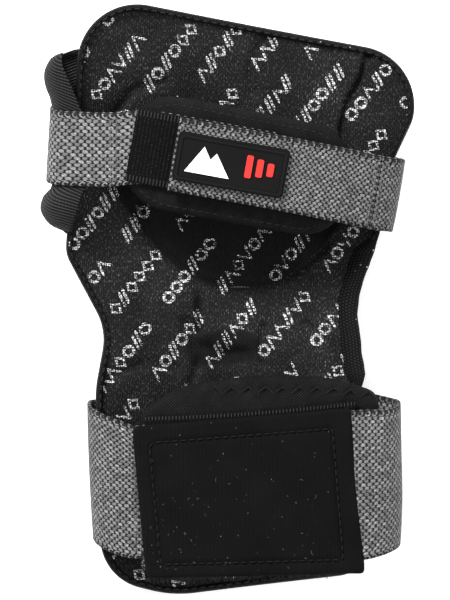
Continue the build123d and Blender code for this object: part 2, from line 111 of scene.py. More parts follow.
def run_along(path):
    """Distance along a line from its start to each of its points."""
    return np.r_[0, np.cumsum(gaps(path))]


def closed(line):
    return np.r_[line, line[:1]]


def normals_along(path):
    """The unit normal, to the left of the way it runs, at each point of a flat line."""
    tangent = np.gradient(path, axis=0)
    tangent /= np.linalg.norm(tangent, axis=1)[:, None]
    return np.stack([-tangent[:, 1], tangent[:, 0]], -1)


def resample(path, step):
    """The same line with its points evenly spaced."""
    path = np.asarray(path, float)
    path = path[np.r_[True, gaps(path) > 1e-9]]
    run = run_along(path)
    n = max(2, int(round(run[-1] / step)) + 1)
    at = np.linspace(0, run[-1], n)
    return np.stack([np.interp(at, run, path[:, k]) for k in range(path.shape[1])], -1)


def smooth(path, times):
    """Softens corners and keeps both ends."""
    path = path.copy()
    for _ in range(times):
        path[1:-1] = 0.25 * path[:-2] + 0.5 * path[1:-1] + 0.25 * path[2:]
    return path


def eased(n, share):
    """Places from 0 to 1 that lie closer together near both ends."""
    return share * (1 - np.cos(np.linspace(0, pi, n))) / 2 + (1 - share) * np.linspace(0, 1, n)


def arc_points(cx, cz, r, a0, a1, n=40):
    a = np.linspace(a0, a1, n)
    return np.stack([cx + r * np.cos(a), cz + r * np.sin(a)], -1)


def strap_path(side, feet, x_side, r_side, top, crown, x_end):
    """Centre-line of a strap as in the CAD: feet, one side, a shoulder, then the crown."""
    x_c = x_side - r_side
    z_c = top - crown + sqrt((crown - r_side) ** 2 - x_c**2)
    lean = atan2(z_c - top + crown, x_c)
    parts = [np.array(feet + [(x_side, z_c)], float)]
    parts.append(arc_points(x_c, z_c, r_side, 0, lean))
    parts.append(arc_points(0, top - crown, crown, lean, acos(x_end / crown), 120))
    path = np.concatenate(parts)
    path[:, 0] *= side
    return path


def bell(d, width):
    """Falls from 1 at d = 0 to almost nothing at twice the width."""
    return np.exp(-((d / width) ** 2))


def waves(x, y, seed, size, n=6):
    """Slow, irregular unevenness from a few crossed sines, about -1 to 1."""
    r = np.random.default_rng(seed)
    out = 0
    for _ in range(n):
        a = r.uniform(0, 2 * pi)
        k = 2 * pi / (size * r.uniform(0.6, 1.6))
        out = out + np.sin((x * cos(a) + y * sin(a)) * k + r.uniform(0, 2 * pi))
    return out / n * 1.6


def near_line(x, y, pts):
    """Distance from each (x, y) to a polyline."""
    best = np.full(np.shape(x), 1e9)
    pts = np.asarray(pts, float)
    for a, b in zip(pts[:-1], pts[1:]):
        d = b - a
        t = np.clip(((x - a[0]) * d[0] + (y - a[1]) * d[1]) / (d @ d), 0, 1)
        best = np.minimum(best, np.hypot(x - a[0] - t * d[0], y - a[1] - t * d[1]))
    return best


# ---- Meshes
def added(name, data):
    """A new object in the scene."""
    obj = bpy.data.objects.new(name, data)
    scene.collection.objects.link(obj)
    return obj


def points_of(data):
    co = np.empty(len(data.vertices) * 3, np.float32)
    data.vertices.foreach_get("co", co)
    return co.reshape(-1, 3).astype(float)


def set_points(data, co):
    data.vertices.foreach_set("co", co.astype(np.float32).ravel())
    data.update()


def mesh(name, points, faces, uv=None, smooth_shade=True):
    """An object from points in millimetres; uv holds millimetres too, one pair a point."""
    data = bpy.data.meshes.new(name)
    data.from_pydata((np.asarray(points) * MM).tolist(), [], [list(map(int, f)) for f in faces])
    if uv is not None:
        layer = data.uv_layers.new(name="weave")
        loops = np.empty(len(data.loops), int)
        data.loops.foreach_get("vertex_index", loops)
        layer.data.foreach_set("uv", np.asarray(uv, float)[loops].astype(np.float32).ravel())
    if smooth_shade:
        data.polygons.foreach_set("use_smooth", [True] * len(data.polygons))
    data.update()
    return added(name, data)


def flat_uv(u, v):
    return np.stack([u, v], -1).reshape(-1, 2)


def grid_faces(n, m, start=0, wrap=False, flip=False):
    """Quads of an n by m grid of points, optionally closed across m."""
    i = np.arange(n - 1)[:, None]
    j = np.arange(m if wrap else m - 1)[None, :]
    k = (j + 1) % m
    quads = np.stack([i * m + j, i * m + k, (i + 1) * m + k, (i + 1) * m + j], -1).reshape(-1, 4) + start
    return quads[:, ::-1] if flip else quads


def tube_faces(n, m, start=0):
    """Faces of a skin over n rings of m points, with a cap at both ends."""
    faces = grid_faces(n, m, start, wrap=True).tolist()
    faces.append(list(range(start, start + m)))
    faces.append(list(range(start + (n - 1) * m, start + n * m))[::-1])
    return faces


def tube(name, rings, uv):
    """A capped skin over rings of points."""
    obj = mesh(name, rings.reshape(-1, 3), tube_faces(*rings.shape[:2]), uv.reshape(-1, 2))
    return fix_normals(obj)


def fix_normals(obj, weld=False):
    """Turns every face outwards; weld first joins the doubled points of a rim."""
    work = bmesh.new()
    work.from_mesh(obj.data)
    if weld:
        bmesh.ops.remove_doubles(work, verts=work.verts, dist=1e-6)
        bmesh.ops.dissolve_degenerate(work, edges=work.edges, dist=1e-7)
    bmesh.ops.recalc_face_normals(work, faces=work.faces)
    work.to_mesh(obj.data)
    work.free()
    return obj


def offset(path, h):
    """The coordinates of points at heights h off a flat line."""
    normal = normals_along(path)
    return [path[:, k, None] + normal[:, k, None] * h for k in (0, 1)]


def band(name, path, half, thick, place, swell=0.0, wave=0.0, seed=1):
    """A strap: a flat band along a path, with round edges. place turns (u, w, v) into the frame."""
    path = resample(path, 0.7)
    n_v = int(2 * half)
    edge = thick / 2
    v = np.linspace(-half + edge * 0.6, half - edge * 0.6, n_v)
    turn = half - edge * 0.15
    loop_v = np.r_[v, turn, half, turn, v[::-1], -turn, -half, -turn]
    side = edge * np.array([0.7, 0, -0.7])
    loop_h = np.r_[np.full(n_v, edge), side, np.full(n_v, -edge), side[::-1]]
    lift = swell * (1 - (loop_v / half) ** 2)
    s, vv = np.broadcast_arrays(run_along(path)[:, None], loop_v[None, :])
    h = loop_h[None, :] + lift[None, :] + wave * waves(s, vv * 0.7, seed, 26)
    return tube(name, place(*offset(path, h), vv), np.stack([s, vv], -1))


# ---- Frames of the straps
HAND_O = np.array([0, 45.6, 49.0])
HAND_U = unit([cos(HAND_SKEW), -sin(HAND_SKEW), 0])
HAND_V = unit([sin(HAND_SKEW) * cos(HAND_TILT), cos(HAND_SKEW) * cos(HAND_TILT), sin(HAND_TILT)])
HAND_W = np.cross(HAND_U, HAND_V)
THUMB_O = np.array([0, 49.5, 48.4])
THUMB_V = np.array([0, cos(HAND_TILT), sin(HAND_TILT)])
THUMB_W = np.array([0, -sin(HAND_TILT), cos(HAND_TILT)])


def by_axes(origin, a, b, c):
    def place(u, w, v):
        u, w, v = np.broadcast_arrays(u, w, v)
        return origin + u[..., None] * a + w[..., None] * b + v[..., None] * c

    return place


def hand(u, w, v):
    """The hand strap's frame; its far end droops a little towards the wrist."""
    u, w, v = np.broadcast_arrays(u, w, v)
    at = HAND_O + u[..., None] * HAND_U + w[..., None] * HAND_W + v[..., None] * HAND_V
    side = np.clip((u - 30) / 22, 0, 1)
    drop = 0.0007 * np.maximum(u, 0) ** 2 - 0.15 * np.minimum(w + 5.0, 0) * side
    at[..., 1] -= drop
    return at


thumb = by_axes(THUMB_O, np.array([1.0, 0, 0]), THUMB_W, THUMB_V)


def wrist(u, w, v):
    """Wrist straps lean back towards the forearm as they rise."""
    u, w, v = np.broadcast_arrays(u, w, v)
    return np.stack([u, WRIST_Y + v - WRIST_SHEAR * w, w], -1)


def hand_local(point):
    d = np.asarray(point, float) - HAND_O
    return np.array([d @ HAND_U, d @ HAND_W])


# ---- Materials
def wired(tree, kind, inputs):
    """A new shader node. Each of its inputs is given a number or what feeds it."""
    node = tree.nodes.new("ShaderNode" + kind)
    for key, value in inputs.items():
        value = getattr(value, "socket", value)
        if isinstance(value, bpy.types.NodeSocket):
            tree.links.new(value, node.inputs[key])
        else:
            node.inputs[key].default_value = value
    return node


class Field:
    """A value in a shader tree, so that a pattern reads as arithmetic."""

    def __init__(self, tree, socket):
        self.tree = tree
        self.socket = socket

    def op(self, kind, *others):
        node = wired(self.tree, "Math", dict(enumerate((self, *others))))
        node.operation = kind
        return Field(self.tree, node.outputs[0])

    __add__ = partialmethod(op, "ADD")
    __sub__ = partialmethod(op, "SUBTRACT")
    __mul__ = partialmethod(op, "MULTIPLY")
    __truediv__ = partialmethod(op, "DIVIDE")
    __abs__ = partialmethod(op, "ABSOLUTE")
    below = partialmethod(op, "LESS_THAN")

    def inverse(self):
        return (self * -1.0) + 1.0

    def ripple(self, pitch):
        """A wave between 0 and 1 along the field."""
        return (self * (2 * pi / pitch)).op("SINE") * 0.5 + 0.5

    def soft(self, low, high):
        """Rises smoothly from 0 at low to 1 at high."""
        node = wired(self.tree, "MapRange", {0: self, 1: low, 2: high})
        node.interpolation_type = "SMOOTHSTEP"
        return Field(self.tree, node.outputs[0])


def grey(value, tint=0.0):
    return (value, value, value * (1 + tint))


class Paint:
    """A procedural material being put together."""

    def __init__(self, name, rough, specular):
        self.material = bpy.data.materials.new(name)
        self.material.use_nodes = True
        self.tree = self.material.node_tree
        self.shader = self.tree.nodes["Principled BSDF"]
        self.shader.inputs["Roughness"].default_value = rough
        self.shader.inputs["Specular IOR Level"].default_value = specular

    def uv(self):
        node = self.tree.nodes.new("ShaderNodeUVMap")
        node.uv_map = "weave"
        return self.split(node.outputs[0])

    def place(self):
        """Position on the object, in millimetres."""
        return self.split(wired(self.tree, "TexCoord", {}).outputs["Object"], 1 / MM)

    def split(self, socket, scale=1.0):
        node = wired(self.tree, "SeparateXYZ", {0: socket})
        return [Field(self.tree, node.outputs[i]) * scale for i in range(3)]

    def vector(self, fields):
        return wired(self.tree, "CombineXYZ", dict(enumerate(fields))).outputs[0]

    def noise(self, fields, scale, detail=2.0, rough=0.5):
        inputs = {"Vector": self.vector(fields), "Scale": scale, "Detail": detail, "Roughness": rough}
        return Field(self.tree, wired(self.tree, "TexNoise", inputs).outputs[0])

    def grain(self, fields):
        """A random number for each set of whole numbers."""
        inputs = {"Vector": self.vector(fields)}
        return Field(self.tree, wired(self.tree, "TexWhiteNoise", inputs).outputs[0])

    def colour(self, amount, *stops):
        """Base colour by amount. A stop is a place and a colour, or one number for a grey."""
        ramp = wired(self.tree, "ValToRGB", {0: amount})
        elements = ramp.color_ramp.elements
        while len(elements) < len(stops):
            elements.new(0.5)
        for e, (at, shade) in zip(elements, stops):
            e.position = at
            e.color = (*(shade if np.ndim(shade) else grey(shade)), 1)
        self.tree.links.new(ramp.outputs[0], self.shader.inputs["Base Color"])

    def roughness(self, amount):
        self.tree.links.new(amount.socket, self.shader.inputs["Roughness"])

    def bump(self, height, distance):
        inputs = {"Strength": 1.0, "Distance": distance * MM, "Height": height}
        node = wired(self.tree, "Bump", inputs)
        self.tree.links.new(node.outputs[0], self.shader.inputs["Normal"])


def bricks(paint, s, v, pitch_s, pitch_v, stagger=0.5):
    """Staggered cells: distance from each cell's middle, and a random number a cell."""
    row = (v / pitch_v).op("FLOOR")
    along = s / pitch_s + row.op("MODULO", 2.0) * stagger
    cell = along.op("FLOOR")
    fs = (along - cell) - 0.5
    fv = (v / pitch_v - row) - 0.5
    return fs, fv, paint.grain([cell, row, 0.0])


SELVAGE = 1.9


def webbing(name, half, light, long=2.5, tall=1.15):
    """Coarse grey webbing: yarn floats laid like bricks, with a looped selvage along both edges."""
    p = Paint(name, rough=0.7, specular=0.12)
    s, v, _ = p.uv()
    wobble = p.noise([s, v, 0.0], 0.35, 2.0) * 0.9
    s, v = s + wobble, v + wobble * 0.5
    fs, fv, pick = bricks(p, s, v, long, tall)
    fv = fv + (pick - 0.5) * 0.16 + fs * (pick - 0.5) * 0.8
    dome = (fs * fs * 4.8 + fv * fv * 1.5).soft(0.26, 1.18).inverse()
    inner = half - SELVAGE
    edge = abs(v).soft(inner, inner + 0.3)
    ls, lv, lpick = bricks(p, s + abs(v) * 0.4, abs(v) - inner, 2.5, SELVAGE, 0.0)
    ring = (ls * ls * 4.2 + lv * lv * 3.2).op("SQRT")
    open_side = (ls + lv * 0.7 - 0.12).soft(0.0, 0.14).inverse()
    loop = abs(ring - 0.60).soft(0.14, 0.40).inverse() * (open_side * 0.75 + 0.25)
    fibres = p.noise([s * 1.6, v * 6.0, 0.0], 1.0, 3.0, 0.75)
    fuzz = p.noise([s, v, 2.0], 3.2, 2.0, 0.7)
    yarn = dome * (pick * 0.34 + 0.66) * edge.inverse() + loop * (lpick * 0.35 + 0.65) * edge
    tick = p.noise([s, v, 5.0], 1.9, 1.0).soft(0.60, 0.74)
    tone = yarn * (fibres * 0.95 + fuzz * 0.55 - 0.05) + tick * 0.26
    stops = [(0.04, 0.04), (0.26, 0.26), (0.52, 0.95), (0.75, 1.8), (1.0, 3.8)]
    p.colour(tone, *[(at, light * k) for at, k in stops])
    p.bump(yarn + fibres * 0.35, 0.55)
    return p.material


def pile(name):
    """Short black loop pile: faint ribs, fuzz and specks of lint."""
    p = Paint(name, rough=0.95, specular=0.04)
    s, v, _ = p.uv()
    fuzz = p.noise([s, v, 0.0], 2.6, 4.0, 0.8)
    rib = (s * (2 * pi / 1.3) + fuzz * 2.0).op("SINE") * 0.5 + 0.5
    broad = p.noise([s, v, 0.0], 0.06, 3.0, 0.6)
    lint = p.noise([s, v, 3.0], 0.95, 1.0).soft(0.76, 0.80)
    tone = fuzz * 0.56 + rib * 0.05 + broad * 0.3 + lint * 0.45
    p.colour(tone, (0.25, 0.002), (0.55, grey(0.0056, 0.08)), (0.8, 0.014), (1.0, 0.2))
    p.bump(fuzz + rib * 0.25 + broad * 0.6, 0.3)
    return p.material


def hooks(name, half, woven=2.4):
    """Black hook tape: columns of tiny hooks between two ribbed woven edges."""
    p = Paint(name, rough=0.75, specular=0.05)
    s, v, _ = p.uv()
    fs, fv, pick = bricks(p, s, v, 1.25, 0.75, 0.0)
    hook = (fs * fs * 6.0 + fv * fv * 4.0).soft(0.2, 0.9).inverse() * (pick * 0.7 + 0.3)
    rib = s.ripple(1.15) * 0.78
    away = abs(v)
    ladder = away.soft(half - woven - 0.2, half - woven) * away.soft(half - 0.5, half - 0.2).inverse()
    stray = p.noise([s, v, 0.0], 1.5, 2.0, 0.7).soft(0.52, 0.72)
    height = (hook * 0.6 + stray * 0.45) * ladder.inverse() + rib * ladder
    p.colour(height, (0.1, 0.002), (0.6, 0.010), (1.0, 0.055))
    p.bump(height, 0.45)
    return p.material


def printed_knit(name):
    """Black wicking knit with rows of small geometric marks printed slantwise, broken up by the mesh."""
    p = Paint(name, rough=0.8, specular=0.12)
    x, y, _ = p.uv()
    x, y = [f + p.noise([x, y, seed], 0.05, 2.0) * 1.6 for f, seed in ((x, 0.0), (y, 4.0))]
    fs, fv, pick = bricks(p, y, x, 1.5, 0.75)
    grain = (fs * fs * 3.0 + fv * fv * 5.0).soft(0.2, 0.9).inverse() * (pick * 0.8 + 0.2)
    tick = p.noise([x * 2.1, y * 0.9, 0.0], 1.0, 2.0, 0.6).soft(0.47, 0.67)
    broad = p.noise([x, y, 0.0], 0.045, 4.0, 0.6)
    # painted shade: the cloth is shaded under the hand pad, where the pad's shadow falls, in the dimple
    # of the palm and along the fold between them; its grain and the print are dimmed there too
    bow = (x - 2.0) * (x - 2.0) * 0.0195 + 3.4
    pad_shadow = (y - bow).soft(-0.3, 1.6) * (y - 40.0).soft(0.0, 4.0).inverse()
    cx, cy = (x + 3.5 + y * 0.15 + 2.2) / 12.5, (y + 15.2 + (x + 3.5) * -0.08) / 5.4
    uneven = p.noise([x, y, 7.0], 0.22, 2.0) * 0.8
    hollow_shade = (cx * cx * cx * cx + cy * cy + uneven).soft(0.9, 2.0).inverse()
    fold = abs(x + 11.8).soft(0.7, 1.9).inverse() * abs(y + 4.5).soft(5.0, 7.5).inverse()
    painted_shade = pad_shadow.op("MAXIMUM", hollow_shade).op("MAXIMUM", fold)
    base = (grain * 0.08 + tick * 0.19) * (painted_shade * 0.85).inverse() + broad * 0.26 + 0.01 - painted_shade * 0.06
    lean = radians(PRINT_LEAN)
    along = x * cos(lean) + y * sin(lean)
    across = y * cos(lean) - x * sin(lean)
    row = (across / PRINT_ROW).op("FLOOR")
    q = across - (row + 0.5) * PRINT_ROW
    along = along + row * 13.7
    group = (along / PRINT_PERIOD).op("FLOOR")
    in_group = along - group * PRINT_PERIOD
    glyph = (along / PRINT_PITCH).op("FLOOR")
    u = along - (glyph + 0.5) * PRINT_PITCH
    shape = p.grain([glyph, row, 1.0])
    au, aq = abs(u), abs(q)
    beyond = (aq - 2.1).op("MAXIMUM", 0.0)
    ring = abs((u * u + q * q).op("SQRT") - 1.6)
    diamond = abs(au + aq * 0.85 - 1.7)
    slash = abs(abs(u - q * 0.55) - 0.85) + beyond
    peak = abs(q + au * 1.9 - 1.8) * 0.6 + beyond
    valley = abs(q * -1.0 + au * 1.9 - 1.8) * 0.6 + beyond
    mark = ring
    for other, over in ((diamond, 0.30), (slash, 0.50), (peak, 0.70), (valley, 0.86)):
        keep = shape.below(over)
        mark = mark * keep + other * keep.inverse()
    ink = mark.soft(0.42, 0.62).inverse() * in_group.below(PRINT_PERIOD - PRINT_SPACE)
    worn = p.noise([x * 0.6, y * 2.6, 0.0], 0.9, 3.0, 0.8).soft(0.46, 0.58)
    holes = (fs * fs * 3.4 + fv * fv * 3.4).soft(0.45, 0.95).inverse()
    # the print is dimmed in the painted shade as well
    ink = ink * (worn * 0.92 + 0.08) * (holes * 0.65 + 0.35) * (painted_shade * 0.22).inverse()
    p.colour(base * ink.inverse() + ink * 0.98, *KNIT_STOPS)
    p.bump(grain + tick * 0.5, 0.25)
    return p.material


def smooth_cloth(name):
    """Fine stretch fabric over neoprene."""
    p = Paint(name, rough=0.8, specular=0.07)
    s, v, _ = p.uv()
    weave = (s * (2 * pi)).op("SINE") * (v * (2 * pi)).op("SINE") * 0.5 + 0.5
    fuzz = p.noise([s, v, 1.0], 1.6, 2.0, 0.6)
    broad = p.noise([s, v, 0.0], 0.12, 4.0, 0.6)
    tone = weave * 0.35 + broad * 0.35 + fuzz * 0.3
    p.colour(tone, (0.2, 0.0018), (0.5, 0.0045), (0.75, 0.0144), (1.0, 0.027))
    p.bump(weave + broad * 0.7, 0.25)
    return p.material


def ribbed(name):
    """Black stretch rib: fine cords running round the thumb."""
    p = Paint(name, rough=0.8, specular=0.12)
    s, v, _ = p.uv()
    cord = (v + s * 0.45).ripple(1.05)
    stitch = s.ripple(0.7)
    broad = p.noise([s, v, 0.0], 0.1, 3.0)
    tone = cord * 0.6 + stitch * cord * 0.2 + broad * 0.3
    p.colour(tone, (0.15, 0.003), (0.6, 0.013), (1.0, 0.045))
    p.bump(cord + stitch * 0.15, 0.4)
    return p.material


def mesh_tape(name, specks):
    """Black binding tape, loosely woven, with pale flecks."""
    p = Paint(name, rough=0.8, specular=0.1)
    s, v, _ = p.uv()
    fs, fv, pick = bricks(p, s, v, 1.0, 1.0)
    knot = (fs * fs * 4.0 + fv * fv * 4.0).soft(0.2, 0.8).inverse()
    fleck = pick.soft(1.0 - specks, 1.0) * knot * 0.8
    p.colour(knot * 0.35 + fleck * 0.8, (0.0, 0.002), (0.35, 0.012), (0.7, 0.18), (1.0, 0.4))
    p.bump(knot, 0.35)
    return p.material


def ballistic(name):
    """Woven nylon of the palm side."""
    p = Paint(name, rough=0.6, specular=0.25)
    x, y, _ = p.uv()
    fs, fv, pick = bricks(p, x, y, 1.1, 0.8)
    yarn = (fs * fs * 3.0 + fv * fv * 3.6).soft(0.3, 1.1).inverse()
    p.colour(yarn * (pick * 0.4 + 0.6), (0.1, 0.004), (0.6, 0.016), (1.0, 0.045))
    p.bump(yarn, 0.3)
    return p.material


def moulded(name, base, rough, grain, bump, tint=(1, 1, 1), specular=0.16):
    """Moulded rubber or plastic with a fine grain."""
    p = Paint(name, rough=rough, specular=specular)
    x, y, z = p.place()
    fine = p.noise([x, y, z], grain, 4.0, 0.6)
    broad = p.noise([x, y, z], 0.05, 2.0)
    shades = [tuple(c * base * k for c in tint) for k in (0.75, 1.0, 1.3)]
    p.colour(fine * 0.4 + broad * 0.6, *zip((0.2, 0.5, 0.85), shades))
    p.roughness(fine * 0.25 + (rough - 0.1))
    p.bump(fine, bump)
    return p.material


def thread(name, base):
    p = Paint(name, rough=0.6, specular=0.12)
    x, y, z = p.place()
    twist = (x + y + z).ripple(0.35)
    p.colour(twist, (0.0, base * 0.6), (1.0, base * 1.4))
    p.bump(twist, 0.05)
    return p.material


HAND_HALF, WRIST_HALF = 12.5, 25.0
PRINT_LEAN, PRINT_ROW, PRINT_PERIOD, PRINT_SPACE, PRINT_PITCH = 53.0, 12.0, 36.0, 9.0, 4.5
KNIT_STOPS = [(0.1, 0.003), (0.24, 0.010), (0.38, 0.045), (0.55, 0.36), (0.8, 0.82)]
MAT = {
    "hand_web": webbing("hand_webbing", HAND_HALF, 0.135),
    "hand_web_fine": webbing("hand_webbing_fine", HAND_HALF, 0.11, 1.9, 0.98),
    "wrist_web": webbing("wrist_webbing", WRIST_HALF, 0.12, 2.2, 1.1),
    "knit": printed_knit("lining_knit"),
    "pile": pile("loop_pile"),
    "hooks_hand": hooks("hook_tape_hand", HAND_HALF),
    "hooks_wrist": hooks("hook_tape_wrist", WRIST_HALF, 1.6),
    "pad": smooth_cloth("pad_cloth"),
    "rib": ribbed("sleeve_rib"),
    "tape": mesh_tape("binding_tape", 0.02),
    "tape_side": mesh_tape("binding_tape_side", 0.06),
    "nylon": ballistic("shell_nylon"),
    "thread": thread("black_thread", 0.012),
    "grey_thread": thread("grey_thread", 0.10),
    "dark_thread": thread("dark_thread", 0.006),
    "splint": moulded("splint_plastic", 0.014, 0.45, 1.6, 0.12),
    "rivet": moulded("rivet_metal", 0.45, 0.35, 1.5, 0.02),
    "badge": moulded("badge_rubber", 0.005, 0.5, 1.2, 0.03, specular=0.05),
    "badge_edge": moulded("badge_rim", 0.004, 0.35, 1.2, 0.03, specular=0.08),
    "white": moulded("badge_white", 0.85, 0.5, 1.0, 0.03),
    "red": moulded("badge_red", 0.75, 0.45, 1.0, 0.03, (1.0, 0.035, 0.03)),
}


def dress(obj, key):
    obj.data.materials.clear()
    obj.data.materials.append(MAT[key])
    return obj


# ---- Padded palm body
edge = rounded(BODY)
top_i, low_i = int(edge[:, 1].argmax()), int(edge[:, 1].argmin())
turned = np.roll(edge, -top_i, axis=0)
split = (low_i - top_i) % len(edge)
chains = turned[: split + 1], np.r_[turned[split:], turned[:1]]
left_chain, right_chain = sorted(chains, key=lambda chain: chain[:, 0].mean())


def side_x(chain, y):
    order = np.argsort(chain[:, 1])
    return np.interp(y, chain[order, 1], chain[order, 0])


def body_grid(inset, n_x, n_y):
    """Plan points inside the outline: rows across, closer together near both ends."""
    low, high = edge[:, 1].min() + inset + 0.02, edge[:, 1].max() - inset - 0.02
    y = low + (high - low) * eased(n_y, 0.35)
    left, right = side_x(left_chain, y) + inset, side_x(right_chain, y) - inset
    middle, half = (left + right) / 2, np.maximum((right - left) / 2, 0.05)
    k = np.linspace(-1, 1, n_x)
    k = np.sign(k) * (0.75 * np.abs(k) + 0.25 * np.sin(np.abs(k) * pi / 2))
    return middle[:, None] + half[:, None] * k[None, :], y[:, None] + 0 * k[None, :]


# Each crease of the lining: its line, depth and half width
CREASES = [
    ([(37, 48), (35.5, 57), (37.5, 66), (42, 74), (45, 84)], 3.2, 1.0),
    ([(14, 94), (8, 86), (5, 76), (6, 70)], 1.7, 1.7),
    (
        [(-33, 31), (-28, 20), (-18, 11.2), (-11.7, 6.6), (-4, 4.2), (9, 4.2), (21.7, 10.6), (30, 18.2)],
        2.4, 1.6,
    ),
    ([(-16, -8), (-13, -15), (-5, -18.5), (3, -18)], 2.0, 2.4),
    ([(9.5, -9), (8.5, -15), (9.5, -21)], 1.7, 1.3),
    ([(-12, -20), (-14, -27)], 1.4, 1.8),
    ([(-42, -26), (-30, -21), (-20, -23)], 1.1, 1.8),
    ([(-40, 62), (-34, 70), (-24, 73)], 1.3, 1.8),
    ([(24, -8), (32, -15), (37, -26)], 1.4, 1.6),
    ([(-11.8, 2), (-11.8, -10)], 2.0, 1.5),
    ([(-44, 22), (-34, 8), (-30, -4)], 0.9, 2.2),
    ([(22, 92), (30, 84), (33, 76)], 1.0, 1.8),
]


def skin_height(x, y):
    """How far the padded lining stands above its smooth layer, towards the hand."""
    d = near_line(x, y, closed(edge)[::2])
    h = 1.3 * (1 - bell(d, 6)) + 0.55 * waves(x, y, 3, 32) + 0.16 * waves(x, y, 4, 8)
    for line, depth, width in CREASES:
        h = h - depth * bell(near_line(x, y, line), width)
    pressed = np.clip((y - 3.4 - 0.0195 * (x - 2) ** 2) / 4, 0, 1) * np.clip((46 - y) / 8, 0, 1)
    h = h - 1.5 * pressed * np.clip((46 - np.abs(x - 4)) / 8, 0, 1)
    for x0, y0, wide, tall, rise in ((22, -12, 13, 12, 0.9), (-27, -6, 12, 14, 0.8)):
        h = h + rise * np.exp(-(((x - x0) / wide) ** 2 + ((y - y0) / tall) ** 2))
    return h


gx, gy = body_grid(1.2, 170, 260)
skin = on_body(gx, gy, R_SKIN - skin_height(gx, gy))
lining = mesh("lining_cloth", skin.reshape(-1, 3), grid_faces(*gx.shape), flat_uv(gx, gy))
dress(lining, "knit")
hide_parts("lining")
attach(lining, "guard")

# The cushion behind it: foam, nylon face and their side wall as one soft body
sx, sy = body_grid(0.9, 120, 200)
drawn_in = 0.9 * bell(near_line(sx, sy, closed(edge)[::3]), 3.0)
shell_r = R_OUT + 0.25 * waves(sx, sy, 5, 30) - drawn_in
back = on_body(sx, sy, shell_r)
front = on_body(sx, sy, R_SKIN + 1.6)
n, m = sx.shape
index = np.arange(n * m).reshape(n, m)
rim = np.r_[index[0], index[1:, -1], index[-1, -2::-1], index[-2:0:-1, 0]]
wall = np.array([[a, b, b + n * m, a + n * m] for a, b in zip(rim, np.roll(rim, -1))])
cushion = mesh(
    "palm_cushion",
    np.r_[back.reshape(-1, 3), front.reshape(-1, 3)],
    np.r_[grid_faces(n, m), grid_faces(n, m, n * m, flip=True), wall],
    np.tile(flat_uv(sx, sy), (2, 1)),
)
fix_normals(cushion)
dress(cushion, "nylon")
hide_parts("foam_padding", "outer_shell")
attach(cushion, "guard")


# ---- Edge binding: a woven tape folded over the edge all round
def ring_band(name, section):
    """A strip folded over the body's edge. section holds (inset, radius) pairs, closed."""
    gap = np.roll(edge, -1, 0) - np.roll(edge, 1, 0)
    tangent = gap / np.linalg.norm(gap, axis=1)[:, None]
    inward = np.stack([-tangent[:, 1], tangent[:, 0]], -1)
    if inward[top_i][1] > 0:
        inward = -inward
    run = run_along(edge)
    uneven = 0.25 * waves(run, run * 0, 11, 19)
    rings, uvs = [], []
    for (d, r), t in zip(section, run_along(section)):
        depth = d + (uneven if d > 1.8 else 0)
        at = edge + inward * np.broadcast_to(depth, run.shape)[:, None]
        rings.append(on_body(at[:, 0], at[:, 1], r))
        uvs.append(np.stack([run, np.full_like(run, t)], -1))
    rings = np.stack(rings, 1)
    uvs = np.stack(uvs, 1)
    n, m, _ = rings.shape
    i = np.arange(n)[:, None]
    j = np.arange(m)[None, :]
    i_next, j_next = (i + 1) % n, (j + 1) % m
    quads = np.stack([i * m + j, i * m + j_next, i_next * m + j_next, i_next * m + j], -1)
    obj = mesh(name, rings.reshape(-1, 3), quads.reshape(-1, 4), uvs.reshape(-1, 2))
    return dress(fix_normals(obj), "tape"), inward


BIND_TOP, BIND_LOW = R_SKIN - 1.5, R_OUT + 0.75
bind_mid, bind_half = (BIND_TOP + BIND_LOW) / 2, (BIND_LOW - BIND_TOP) / 2
fold_over = [(0.7 - 0.9 * sin(a), bind_mid - bind_half * cos(a)) for a in np.linspace(0, pi, 9)]
lip_in = [(2.3, R_SKIN + 0.3), (2.0, R_SKIN - 0.7), (1.6, BIND_TOP + 0.1), (1.1, BIND_TOP - 0.2)]
lip_out = [(2.2, BIND_LOW), (3.8, BIND_LOW - 0.05), (4.9, BIND_LOW - 0.3), (5.1, R_OUT - 0.4)]
inner = [(3.2, R_OUT - 1.2), (3.0, R_SKIN + 1.6)]
binding, inward = ring_band("edge_binding_tape", lip_in + fold_over + lip_out + inner)
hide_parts("edge_binding")
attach(binding, "guard")


# ---- Thread: single stitches along a line, and a continuous thread
def tube_along(points, radius, sides=6):
    """Rings round a short run of points; radius may be one number a point."""
    points = np.asarray(points, float)
    tangent = np.gradient(points, axis=0)
    tangent /= np.maximum(np.linalg.norm(tangent, axis=1)[:, None], 1e-9)
    up = np.array([0.0, 0.0, 1.0]) if abs(tangent[0][2]) < 0.9 else np.array([1.0, 0, 0])
    a = np.cross(tangent, up)
    a /= np.linalg.norm(a, axis=1)[:, None]
    b = np.cross(tangent, a)
    turn = np.arange(sides) * 2 * pi / sides
    radius = np.broadcast_to(radius, len(points))[:, None, None]
    across = a[:, None, :] * np.cos(turn)[None, :, None] + b[:, None, :] * np.sin(turn)[None, :, None]
    return points[:, None, :] + radius * across


def many_tubes(name, runs, radii, key):
    """One mesh of many small capped tubes."""
    verts, faces, start = [], [], 0
    for run, radius in zip(runs, radii):
        rings = tube_along(run, radius)
        n, m, _ = rings.shape
        verts.append(rings.reshape(-1, 3))
        faces.extend(tube_faces(n, m, start))
        start += n * m
    return dress(fix_normals(mesh(name, np.concatenate(verts), faces)), key)


